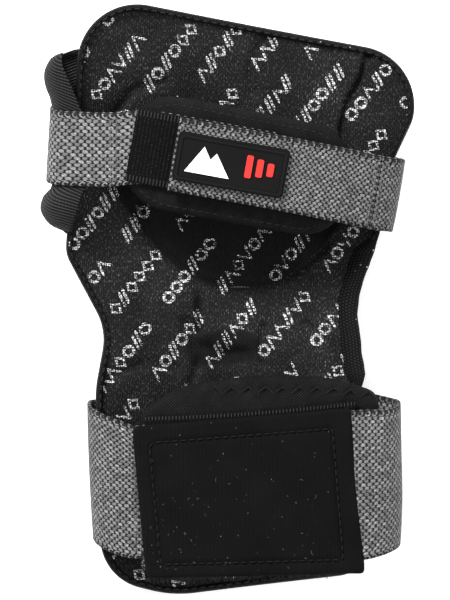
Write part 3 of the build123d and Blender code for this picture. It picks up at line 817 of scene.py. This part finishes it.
def sewn(name, line, normals, key="thread", pitch=3.0, long=2.1, radius=0.28):
    """A row of stitches lying along a line on a surface."""
    line = np.asarray(line, float)
    normals = np.broadcast_to(np.asarray(normals, float), line.shape)
    run = run_along(line)
    runs, radii = [], []
    for start in np.arange(0.4, run[-1] - long, pitch):
        t = start + np.linspace(0, 1, 6) * long
        at, n = (np.stack([np.interp(t, run, a[:, k]) for k in range(3)], -1) for a in (line, normals))
        arch = np.array([-0.5, 0.55, 0.9, 0.9, 0.55, -0.5]) * radius
        runs.append(at + n * arch[:, None])
        radii.append(radius * np.array([0.55, 0.95, 1.05, 1.05, 0.95, 0.55]))
    return many_tubes(name, runs, radii, key)


for name, inset, radius, facing in (
    ("binding_stitches", 1.5, BIND_TOP - 0.2, 1),
    ("binding_stitches_back", 3.7, BIND_LOW + 0.1, -1),
):
    line = closed(edge + inward * inset)
    stitches = sewn(name, on_body(line[:, 0], line[:, 1], radius), [0, 0, facing])
    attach(stitches, "guard")


# ---- Straps: flat bands, each listed with its width and the path that gives its length
SHEETS = []
STITCH_RISE = 0.95  # of the thread above a webbing's middle


def strap(name, path, half, thick, place, key, slot, flat_path=None, **shape):
    obj = dress(band(name, path, half, thick, place, **shape), key)
    SHEETS.append((obj, 2 * half, path if flat_path is None else flat_path))
    return obj


def soften(path, passes=14):
    return smooth(resample(path, 0.8), passes)


def across(name, u, top, crown, place, v, normal, radius, pitch=2.4, long=1.8):
    """A row of grey stitches across a strap at u."""
    w = top - crown + sqrt((crown + STITCH_RISE) ** 2 - u * u)
    row = place(np.full_like(v, u), np.full_like(v, w), v)
    return sewn(name, row, normal, "grey_thread", pitch, long, radius)


def crown_line(top, crown, height, start, end):
    """A length of the arch at a height above its own line, from one x to another."""
    r = crown + height
    return arc_points(0, top - crown, r, acos(start / r), acos(end / r), 120)


ANCHOR_R = R_OUT + WEB / 2
shell_w = float(section_z(52.0, ANCHOR_R)) + 3.4 - THUMB_O[2]
shell_slope = 52.0 / sqrt(ANCHOR_R**2 - 52.0**2)
THUMB_X = 61.0


def hand_stub_place(u, w, v):
    """Square to the sleeve at the thumb, then turning to the strap's own skew over the hand."""
    k = np.clip((u + 43) / 20, 0, 1)
    k = (k * k * (3 - 2 * k))[..., None]
    u = u - 1.2 * (12.5 - v) / 25 * np.clip((-u - 50) / 8, 0, 1)
    return thumb(u, w, v) * (1 - k) + hand(u, w, v) * k


feet = [(40.0, shell_w - 12.0 * shell_slope), (53.5, shell_w + 0.2), (THUMB_X, shell_w + 2.4)]
line = soften(strap_path(-1, feet, THUMB_X, 8.0, 0, HAND_CROWN, 46.0))
path = np.r_[line, crown_line(0, HAND_CROWN, 0, -45.5, 12.0)]
stub = strap(
    "hand_stub_webbing", path, HAND_HALF, WEB, hand_stub_place, "hand_web", "webbing",
    resample(path, 1.0), swell=0.15, wave=0.16, seed=21,
)
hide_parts("hand_stub_strap")
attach(stub, "guard")

# bar of stitches where the hook tape starts
hand_row = np.linspace(-11.5, 11.5, 40)
for number, u in enumerate((-41.4, -39.6)):
    name = f"hand_stub_stitches_{number}"
    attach(across(name, u, 0, HAND_CROWN, hand_stub_place, hand_row, HAND_W, 0.26), "guard")

path = crown_line(0, HAND_CROWN, WEB / 2 + TAPE / 2 + 0.05, -35.0, 11.0)
tape = strap(
    "hand_hook_tape_woven", path, HAND_HALF, TAPE, hand, "hooks_hand", "hook_tape", wave=0.05, seed=22
)
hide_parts("hand_hook_tape")
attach(tape, "guard")

# Free strap: anchor under the palm side, fold, side and shoulder; then over the hand to the badge
fold = hand_local(on_body(53.6, 39.0, ANCHOR_R))
free_top = WEB / 2 + TAPE + GAP + TAPE + WEB / 2
free_crown = HAND_CROWN + free_top
reach = fold[0] + 0.4
under = [
    hand_local(on_body(x, 45.0 - 0.176 * (x - 20), ANCHOR_R + 0.25)) for x in np.linspace(36.5, 52.5, 16)
]
PEEL_U, END_U, SEAM_U = 22.0, -20.5, 47.5
feet = [(fold[0], fold[1]), (reach, fold[1] + 3.5)]
rising = strap_path(1, feet, reach, 9.0, free_top, free_crown, SEAM_U)[1:]
root = strap(
    "hand_strap_root", soften(np.r_[under, rising]), HAND_HALF, WEB, hand, "hand_web_fine", "webbing",
    swell=-0.25, wave=0.2, seed=23,
)
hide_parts("hand_strap_anchor")


def hand_point(u, w):
    return (hand(np.array(u), np.array(w), np.array(0.0)) * MM).tolist()


FOLD_LOW = hand_point(fold[0] - 3.0, fold[1] - 1.4)
FOLD_HIGH = hand_point(fold[0] + 2.4, fold[1] + 3.4)
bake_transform(root)

over = crown_line(free_top, free_crown, 0, SEAM_U, END_U)
tip = strap(
    "hand_strap_over", over, HAND_HALF, WEB, hand, "hand_web_fine", "webbing",
    swell=-0.2, wave=0.22, seed=24,
)
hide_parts("hand_strap", "hand_strap_tip")
PEEL_A = hand_point(PEEL_U + 1.5, 0)
PEEL_B = hand_point(PEEL_U - 6.5, 0)
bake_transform(tip)

path = crown_line(0, HAND_CROWN, free_top - WEB / 2 - TAPE / 2, PEEL_U - 3.0, END_U + 0.6)
loops = strap(
    "hand_loop_tape_woven", path, HAND_HALF - 0.8, TAPE, hand, "pile", "loop_pile", wave=0.05, seed=25
)
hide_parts("hand_loop_tape")
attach(loops, "hand_strap_free_end")

for name, u, radius, body in (
    ("hand_strap_stitches_0", 48.6, 0.27, "hand_strap_base"),
    ("hand_strap_stitches_1", 46.4, 0.27, "hand_strap_base"),
    ("hand_tip_stitches", END_U + 1.7, 0.26, "hand_strap_free_end"),
):
    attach(across(name, u, free_top, free_crown, hand, hand_row, HAND_W, radius), body)

# ---- Thumb sleeve: a ribbed knit tube, drawn in under the strap
reach = THUMB_X - 1.6
feet = [(46.0, shell_w + 1.6), (reach, shell_w + 3.8)]
# How far the knit swells out past the strap, (across the strap, outwards)
SWELL = [
    (-27.5, -2.4), (-26.1, -0.4), (-25.1, 1.5), (-23.1, 3.2), (-20.4, 4.8), (-19, 5.1), (-17, 4.8),
    (-15, 4.1), (-13.4, 2.6), (-12.3, 1.2), (12.3, 0.0), (15.7, 1.1), (18.7, 1.6), (21.5, 2.8),
    (24.8, 3.6), (27.5, 3.5), (30.9, 2.1), (32.9, 0.5), (34.2, -2.2),
]
line = soften(strap_path(-1, feet, reach, 6.4, -1.6, HAND_CROWN - 1.6, 44.5), 10)
line = resample(line, 0.7)
x_at = line[:, 0]
upper = line[:, 1] > -9
y_high = 84.0 - 2.4 * np.clip((-x_at - 52) / 7.4, 0, 1) ** 2
y_low = np.interp(-x_at, [40, 54, 57, 60], [21.5, 21.8, 22.5, 23.6])
y_high = np.where(upper, np.minimum(y_high, 63.5 + (-51.5 - x_at) * 3.1), y_high)
y_high = np.where(upper & (x_at > -51), 61.5, y_high)
y_low = np.where(upper, np.maximum(y_low, 33.5 - (-51 - x_at) * (18.5 / 6.0)), y_low)
y_low = np.where(upper & (x_at > -51), 37.5, y_low)
drop = line[:, 1] * sin(HAND_TILT)
v_high, v_low = ((smooth(y, 3) - THUMB_O[1] + drop) / cos(HAND_TILT) for y in (y_high, y_low))
n_v = 64
k = np.linspace(0, 1, n_v)
loop_k = np.r_[k, k[::-1]]
loop_h = np.r_[np.full(n_v, -0.75), np.full(n_v, 0.75)]
loop_h[[0, n_v - 1, n_v, -1]] *= 0.25
vv = v_low[:, None] + (v_high - v_low)[:, None] * loop_k[None, :]
s = run_along(line)[:, None] + 0 * vv
fine_v = np.linspace(-30, 36, 400)
swell = smooth(np.interp(fine_v, *zip(*SWELL)), 20)
free = np.clip((np.abs(vv) - 12.2) / 5.0, 0, 1)
bulge = np.interp(vv - drop[:, None], fine_v, swell) + free * 0.3 * waves(s, vv, 31, 14)
rim = np.minimum(vv - v_low[:, None], v_high[:, None] - vv)
bulge = bulge - 0.5 * bell(rim, 2.5) * free
side = np.clip((-line[:, :1] - 50) / 7, 0, 1)
outward = np.maximum(side, 0.6 * np.clip((line[:, 1:] + 12) / 8, 0, 1))
u, w = offset(line, loop_h[None, :] + bulge * outward)
sleeve = tube("thumb_sleeve_knit", thumb(u, w, vv), np.stack([s, vv], -1))
dress(sleeve, "rib")
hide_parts("thumb_sleeve")
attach(sleeve, "guard")
SHEETS.append((sleeve, 55, line))


# ---- Pads: stuffed forms sewn flat round their rims
def column_sides(shape):
    """The upper and lower edge of a closed outline, each as (u, v) from low u to high u."""
    a, b = int(shape[:, 0].argmin()), int(shape[:, 0].argmax())
    turned = np.roll(shape, -a, axis=0)
    cut = (b - a) % len(shape)
    one, two = turned[: cut + 1], np.r_[turned[cut:], turned[:1]][::-1]
    return (one, two) if one[:, 1].mean() > two[:, 1].mean() else (two, one)


def plan_grid(corners, n_u, n_v):
    """Points inside a rounded outline in rows, closer together near its ends."""
    shape = rounded(corners, 0.5)
    high, low = column_sides(shape)
    u0, u1 = shape[:, 0].min() + 0.02, shape[:, 0].max() - 0.02
    u = u0 + (u1 - u0) * eased(n_u, 0.45)
    top = np.interp(u, high[:, 0], high[:, 1])
    bottom = np.interp(u, low[:, 0], low[:, 1])
    v = bottom[:, None] + np.maximum(top - bottom, 0.05)[:, None] * eased(n_v, 0.3)[None, :]
    return u[:, None] + 0 * v, v, shape


def stuffed(name, corners, n_u, n_v, low, high, place, round_off, puff, seed, seam=None):
    """A closed pillow between two heights over a plan outline, with a groove along its seam."""
    u, v, shape = plan_grid(corners, n_u, n_v)
    d = near_line(u, v, closed(shape)[::2])
    k = np.clip(d / round_off, 0, 1)
    profile = np.sqrt(np.clip(1 - (1 - k) ** 2, 0, 1))
    middle, half = (low + high) / 2, (high - low) / 2
    lumps = puff * waves(u, v, seed, 22)
    groove = 0 if seam is None else 0.55 * bell(near_line(u, v, seam), 0.9)
    top = middle + half * profile + (lumps - groove) * profile
    under = middle - half * profile
    rim = np.zeros(u.shape, bool)
    rim[0], rim[-1], rim[:, 0], rim[:, -1] = True, True, True, True
    top[rim] = under[rim] = middle
    n, m = u.shape
    points = np.r_[place(u, top, v).reshape(-1, 3), place(u, under, v).reshape(-1, 3)]
    faces = np.r_[grid_faces(n, m), grid_faces(n, m, n * m, flip=True)]
    return fix_normals(mesh(name, points, faces, np.tile(flat_uv(u, v), (2, 1))), weld=True)


def blown(obj, cap, frames=20):
    """Cloth under slight pressure, to fill and crease as a stuffed pad does.

    No vertex goes further than cap.
    """
    rest = points_of(obj.data)
    cloth = obj.modifiers.new("cloth", "CLOTH")
    s = cloth.settings
    s.quality = 6
    s.mass = 0.15
    s.use_pressure = True
    s.uniform_pressure_force = 4.0
    s.tension_stiffness = s.compression_stiffness = 25
    s.shear_stiffness = 15
    s.bending_stiffness = 0.6
    s.shrink_min = -0.04
    s.effector_weights.gravity = 0
    cloth.point_cache.frame_start = 1
    cloth.point_cache.frame_end = frames
    for frame_number in range(1, frames + 1):
        scene.frame_set(frame_number)
    shaped = obj.evaluated_get(bpy.context.evaluated_depsgraph_get())
    moved = points_of(shaped.data) - rest
    moved -= moved.mean(0)
    far = np.linalg.norm(moved, axis=1)
    moved *= (np.minimum(far, cap * MM) / np.maximum(far, 1e-9))[:, None]
    obj.modifiers.remove(cloth)
    set_points(obj.data, rest + moved)
    scene.frame_set(1)
    finer(obj, 2)


def finer(obj, levels):
    """Applies a subdivision to the mesh itself."""
    sub = obj.modifiers.new("finer", "SUBSURF")
    sub.levels = sub.render_levels = levels
    bpy.context.view_layer.update()
    made = bpy.data.meshes.new_from_object(obj.evaluated_get(bpy.context.evaluated_depsgraph_get()))
    obj.modifiers.remove(sub)
    obj.data = made
    made.polygons.foreach_set("use_smooth", [True] * len(made.polygons))


def over_hand(u, h, v):
    r = HAND_CROWN + h
    return hand(u, -HAND_CROWN + np.sqrt(r**2 - u**2), v)


def over_wrist(u, h, y):
    """Heights above the wrist's arch over plan (x, y)."""
    r = WRIST_CROWN + h
    return np.stack([u, y, WRIST_TOP - WRIST_CROWN + np.sqrt(r**2 - u**2)], -1)


def gathered(obj, y_at, slope, pitch, deep):
    """Small puckers across a sewn line of the mesh, which runs at y = y_at + slope * x."""
    co = points_of(obj.data)
    x, y = co[:, 0] / MM, co[:, 1] / MM
    near = bell(y - y_at - slope * x, 2.6)
    co[:, 2] += near * (np.sin(2 * pi * x / pitch) - 0.6) * deep * MM
    set_points(obj.data, co)


PAD_LOW, PAD_TOP = -WEB / 2 - PAD - 0.2, -WEB / 2
HAND_PAD = [(-38, -21, 18), (-38, 18.5, 17), (38, 17.5, 14), (38, -20.5, 15)]
pad = stuffed("hand_pad_cushion", HAND_PAD, 30, 16, PAD_LOW, PAD_TOP + 0.3, over_hand, 3.5, 0.15, 41)
blown(pad, 0.7)
gathered(pad, 28.6, -0.176, 5.2, 0.35)
dress(pad, "pad")
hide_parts("hand_pad_cover", "hand_pad_foam")
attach(pad, "guard")

WRIST_PAD = [
    (-31.5, -87, 7), (-31.5, -37, 7), (-18, -28.5, 18), (4, -25, 60), (32, -25.5, 40), (48, -30.5, 6),
    (47.5, -86, 7),
]
pad = stuffed("wrist_pad_cushion", WRIST_PAD, 32, 22, PAD_LOW, PAD_TOP + 0.2, over_wrist, 3.0, 0.12, 42)
blown(pad, 0.6)
gathered(pad, -29.8, 0.0, 5.7, 0.45)
dress(pad, "pad")
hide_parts("wrist_pad_cover", "wrist_pad_foam", "wrist_pad_binding")
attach(pad, "guard")

# ---- Straps of the wrist
def body_foot(x):
    """Height and slope of the sewn-down webbing under the body at x."""
    return float(section_z(x, ANCHOR_R)), x / sqrt(ANCHOR_R**2 - x**2)


def under_body(x_end, n):
    return [(x, float(section_z(x, ANCHOR_R + 0.25))) for x in np.linspace(25, x_end, n)]


FOOT_X, LEFT_X, RIGHT_X, FOLD_X = 45.0, 48.2, 54.7, 47.5
foot, slope = body_foot(FOOT_X)
feet = under_body(41, 12) + [(LEFT_X + 0.4, foot + (LEFT_X - FOOT_X) * slope)]
line = soften(strap_path(-1, feet, LEFT_X + 0.4, 12.0, WRIST_TOP, WRIST_CROWN, 40.0))
over = crown_line(WRIST_TOP, WRIST_CROWN, 0, -39.0, 39.0)


def wrist_left(u, w, v):
    """The near webbing: its upper edge draws down to the hook tape, its lower corner turns in."""
    upper = np.interp(u, [-50, -46, -34, -26, 40], [0.07, 0.09, 0.23, 0.2, 0.1]) * (v > 0)
    lower = np.interp(u, [-49, -36], [0.12, 0.0]) * (v < 0)
    return wrist(u + 0.036 * (25 - v) * np.interp(u, [-49, -38], [1, 0]), w, v * (1 - upper - lower))


stub = strap(
    "wrist_stub_webbing", np.r_[line, over], WRIST_HALF, WEB, wrist_left, "wrist_web", "webbing",
    swell=0.4, wave=0.22, seed=51,
)
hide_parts("wrist_stub_strap")
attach(stub, "guard")


def wrist_tape(u, w, v):
    """The hook tape lies a little askew on the webbing."""
    return wrist(u, w, v + 0.3 + 0.064 * (u - 2.5))


path = crown_line(WRIST_TOP, WRIST_CROWN, WEB / 2 + TAPE / 2 + 0.05, -30.0, 40.0)
tape = strap(
    "wrist_hook_tape_woven", path, WRIST_HALF, TAPE, wrist_tape, "hooks_wrist", "hook_tape",
    wave=0.05, seed=52,
)
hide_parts("wrist_hook_tape")
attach(tape, "guard")

wrist_row = np.linspace(-23.5, 23.5, 80)
for number, u in enumerate((-33.0, -31.2)):
    name, normal = f"wrist_stub_stitches_{number}", [0, 0.1, 1]
    row = across(name, u, WRIST_TOP, WRIST_CROWN, wrist_left, wrist_row, normal, 0.27, 2.6, 1.9)
    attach(row, "guard")

# The far side: anchor, fold and the way up to where the tab starts
fold_z, slope = body_foot(FOLD_X)
PEEL_X, TAB_START = 38.0, 36.6
feet = under_body(46.5, 16) + [(FOLD_X, fold_z), (RIGHT_X, fold_z + (RIGHT_X - FOLD_X) * slope)]
rising = strap_path(1, feet, RIGHT_X, 16.0, WRIST_TOP + free_top, WRIST_CROWN + free_top, TAB_START)


def wrist_right(u, w, v):
    """The far webbing narrows a little as it rises from the fold."""
    return wrist(u, w, v * np.interp(u, [44, 53], [1.0, 0.955]))


root = strap(
    "wrist_strap_root", soften(rising), WRIST_HALF, WEB, wrist_right, "wrist_web", "webbing",
    swell=-0.6, wave=0.28, seed=53,
)
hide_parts("wrist_strap_anchor", "wrist_strap")
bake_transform(root)

# The tab: loop cloth on webbing, with a sewn border and a softly rounded rim
TAB = [(-34.4, -42.0, 2.5), (38.7, -35.8, 1.2), (43.4, -91.2, 1.5), (-29.6, -93, 3)]
TAB_LOW, TAB_TOP, TAB_LUMPS, TAB_SEED = 2.5, 6.3, 0.22, 54
border = closed(rounded([(-28.6, -47.6, 2), (32.4, -42.8, 1), (36.0, -86.4, 1), (-24.8, -88.0, 2)], 0.8))
tab = stuffed(
    "wrist_tab_cloth", TAB, 120, 84, TAB_LOW, TAB_TOP, over_wrist, 1.7, TAB_LUMPS, TAB_SEED, border[::2]
)
finer(tab, 1)
dress(tab, "pile")
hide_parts("wrist_tab", "wrist_tab_pile", "wrist_loop_tape")
PEEL_A = [(PEEL_X + 0.6) * MM, -0.064, 0.043]
PEEL_B = [(PEEL_X - 9.0) * MM, -0.064, 0.043]
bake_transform(tab)


def tab_top(x, y, above):
    """Points a little above the tab's uneven upper face."""
    return over_wrist(x, TAB_TOP + above + TAB_LUMPS * waves(x, y, TAB_SEED, 22), y)


def on_tab(obj):
    """Bakes the object's placement into its points."""
    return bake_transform(obj)


border_top = tab_top(border[:, 0], border[:, 1], -0.14)
on_tab(sewn("wrist_tab_stitches", border_top, [0, 0, 1], "dark_thread", 2.8, 2.2, 0.26))

# Loose fibres along the tab's cut edge, and lint caught on it
runs, radii = [], []
for _ in range(420):
    if rng.random() < 0.72:
        x = rng.uniform(-30, 33)
        y = -93.0 + (x + 30) * (2.0 / 73.4)
        out = np.array([rng.normal(0, 0.35), -1.0, rng.normal(0, 0.35)])
    else:
        y = rng.uniform(-91, -46)
        x = -34.0 + (-44 - y) * (4.0 / 49)
        out = np.array([-1.0, rng.normal(0, 0.35), rng.normal(0, 0.35)])
    h = rng.uniform(2.9, 5.8)
    base = over_wrist(np.array(x), h, np.array(y)).reshape(3)
    out = unit(out) * rng.uniform(0.6, 1.7)
    bend = rng.normal(0, 0.35, 3)
    t = np.linspace(0, 1, 4)[:, None]
    runs.append(base - out * 0.35 + out * t * 1.35 + bend * t**2)
    radii.append(np.array([0.07, 0.06, 0.05, 0.02]))
on_tab(many_tubes("wrist_tab_fibres", runs, radii, "thread"))

runs, radii = [], []
for _ in range(85):
    x, y = rng.uniform(-29, 32), rng.uniform(-90, -47)
    base = tab_top(np.array([x]), np.array([y]), 0.05)[0]
    way = unit([rng.normal(), rng.normal(), 0.1]) * rng.exponential(0.35)
    side = unit([-way[1], way[0], 0]) * rng.normal(0, 0.35)
    t = np.linspace(0, 1, 5)[:, None]
    runs.append(base + way * t + side * np.sin(t * pi) + np.array([0, 0, 0.12]) * np.sin(t * pi))
    radii.append(np.full(5, rng.uniform(0.03, 0.07)))
on_tab(many_tubes("wrist_tab_lint", runs, radii, "grey_thread"))

# ---- Zigzag that joins the pad's rim to the webbing
x = np.arange(-7.0, 46.5, 0.25)
phase = np.abs(((x + 7.0) / 5.7) % 1.0 * 2 - 1)
y = -30.1 + 2.3 * (phase - 0.5) - 0.10 * np.maximum(x - 30, 0)
zig = over_wrist(x, PAD_TOP + 0.42, y)
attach(many_tubes("wrist_pad_zigzag", [zig], [np.full(len(zig), 0.36)], "dark_thread"), "guard")
rim = closed(rounded([(-35.6, -18.4, 16), (-35.6, 15.9, 15), (35.6, 14.9, 12), (35.6, -17.9, 13)], 0.8))
for number, keep in enumerate((rim[rim[:, 1] > 13.2], rim[rim[:, 1] < -14.5])):
    keep = keep[np.argsort(keep[:, 0])]
    row = over_hand(keep[:, 0], PAD_TOP + 0.3, keep[:, 1])
    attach(sewn(f"hand_pad_stitches_{number}", row, HAND_W, "thread", 2.6, 1.8, 0.22), "guard")

# ---- The thicker mesh tape down the far side of the palm
near = np.where((edge[:, 0] > 30) & (edge[:, 1] > -33) & (edge[:, 1] < 23))[0]
near = near[np.argsort(edge[near, 1])]
strip = edge[near]
into = normals_along(strip)
if into[len(into) // 2][0] > 0:
    into = -into
run = run_along(strip)
k = np.linspace(0, 1, 14)
ends = np.clip(np.minimum(run, run[-1] - run) / 8.0, 0.25, 1)[:, None]
lip = smooth(np.interp(strip[:, 1], [-33, -27, -8, 2, 22], [3.0, 2.6, 1.5, 0.3, 0.2])[:, None], 40)
deep = (6.6 * ends) * k[None, :] - ends * lip
deep = deep + 0.25 * waves(run[:, None] + 0 * deep, deep * 2, 61, 9)
at = strip[:, None, :] + into[:, None, :] * deep[..., None]
hump = 1.9 * np.sin(k * pi)[None, :] ** 0.7 * ends
upper_skin = on_body(at[..., 0], at[..., 1], BIND_TOP + 0.5 - hump)
lower_skin = on_body(at[..., 0], at[..., 1], R_SKIN + 1.0)
rings = np.concatenate([upper_skin, lower_skin[:, ::-1]], 1)
uv = np.stack(np.broadcast_arrays(run[:, None], np.r_[6 * k, 6 * k[::-1]][None, :]), -1)
strip_obj = tube("side_binding_tape", rings, uv)
dress(strip_obj, "tape_side")
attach(strip_obj, "guard")

# ---- Rigid parts keep their CAD shapes and get their materials
for node, key in (
    ("badge", "badge"), ("badge_frame", "badge_edge"), ("badge_peaks", "white"),
    ("badge_bars", "red"), ("palm_splint", "splint"), ("stiffener", "splint"),
    ("splint_rivets", "rivet"), ("rivet_washers", "rivet"),
):
    dress(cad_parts[node], key)

# ---- The length of each strap and of the sleeve, whether it is folded, laid or stretched, and the binding's length
for obj, width, path in SHEETS:
    length = float(gaps(path).sum())
    held = "folded" if "root" in obj.name or "stub" in obj.name else "laid"
    held = "stretched" if "sleeve" in obj.name else held
x, y = edge[:, 0], edge[:, 1]
binding_length = float(gaps(edge).sum()) * MM

# ---- Pale floor, soft light and the camera straight above
corners = [(x, y, -1) for x, y in ((-3000, -3000), (3000, -3000), (3000, 3000), (-3000, 3000))]
floor = mesh("floor", corners, [(0, 1, 2, 3)], smooth_shade=False)
paper = Paint("floor_paper", rough=0.9, specular=0.1)
px, py, pz = paper.place()
paper.colour(paper.noise([px, py, pz], 0.02, 2.0), (0.3, 0.93), (0.7, 0.96))
paper.shader.inputs["Emission Color"].default_value = (1, 1, 1, 1)
paper.shader.inputs["Emission Strength"].default_value = 0.3
floor.data.materials.append(paper.material)


def softbox(name, at, size, power):
    """A square light that faces the part."""
    lamp = bpy.data.lights.new(name, "AREA")
    lamp.shape = "SQUARE"
    lamp.size = size
    lamp.energy = power
    obj = added(name, lamp)
    obj.location = at
    obj.rotation_euler = (Vector(LIT) - Vector(at)).to_track_quat("-Z", "Y").to_euler()


LIT = (0, 0, 0.03)
softbox("key", (-0.55, 0.85, 0.95), 0.4, 36)
softbox("fill", (0.95, -0.35, 0.9), 0.9, 10)
softbox("top", (0.0, 0.0, 1.9), 1.6, 18)
world = bpy.data.worlds.new("studio")
world.use_nodes = True
background = world.node_tree.nodes["Background"]
background.inputs["Color"].default_value = (1, 1, 1, 1)
background.inputs["Strength"].default_value = 0.35
scene.world = world
scene.view_settings.view_transform = "Standard"
scene.view_settings.look = "None"

DISTANCE, VIEW_HEIGHT, SENSOR = 4.0, 0.2, 24
camera_data = bpy.data.cameras.new("camera")
camera_data.sensor_fit = "VERTICAL"
camera_data.sensor_height = SENSOR
camera_data.lens = SENSOR * DISTANCE / VIEW_HEIGHT
camera_data.clip_end = 20
camera = added("camera", camera_data)
camera.location = (-0.00333, 0, DISTANCE + 0.04)
scene.camera = camera
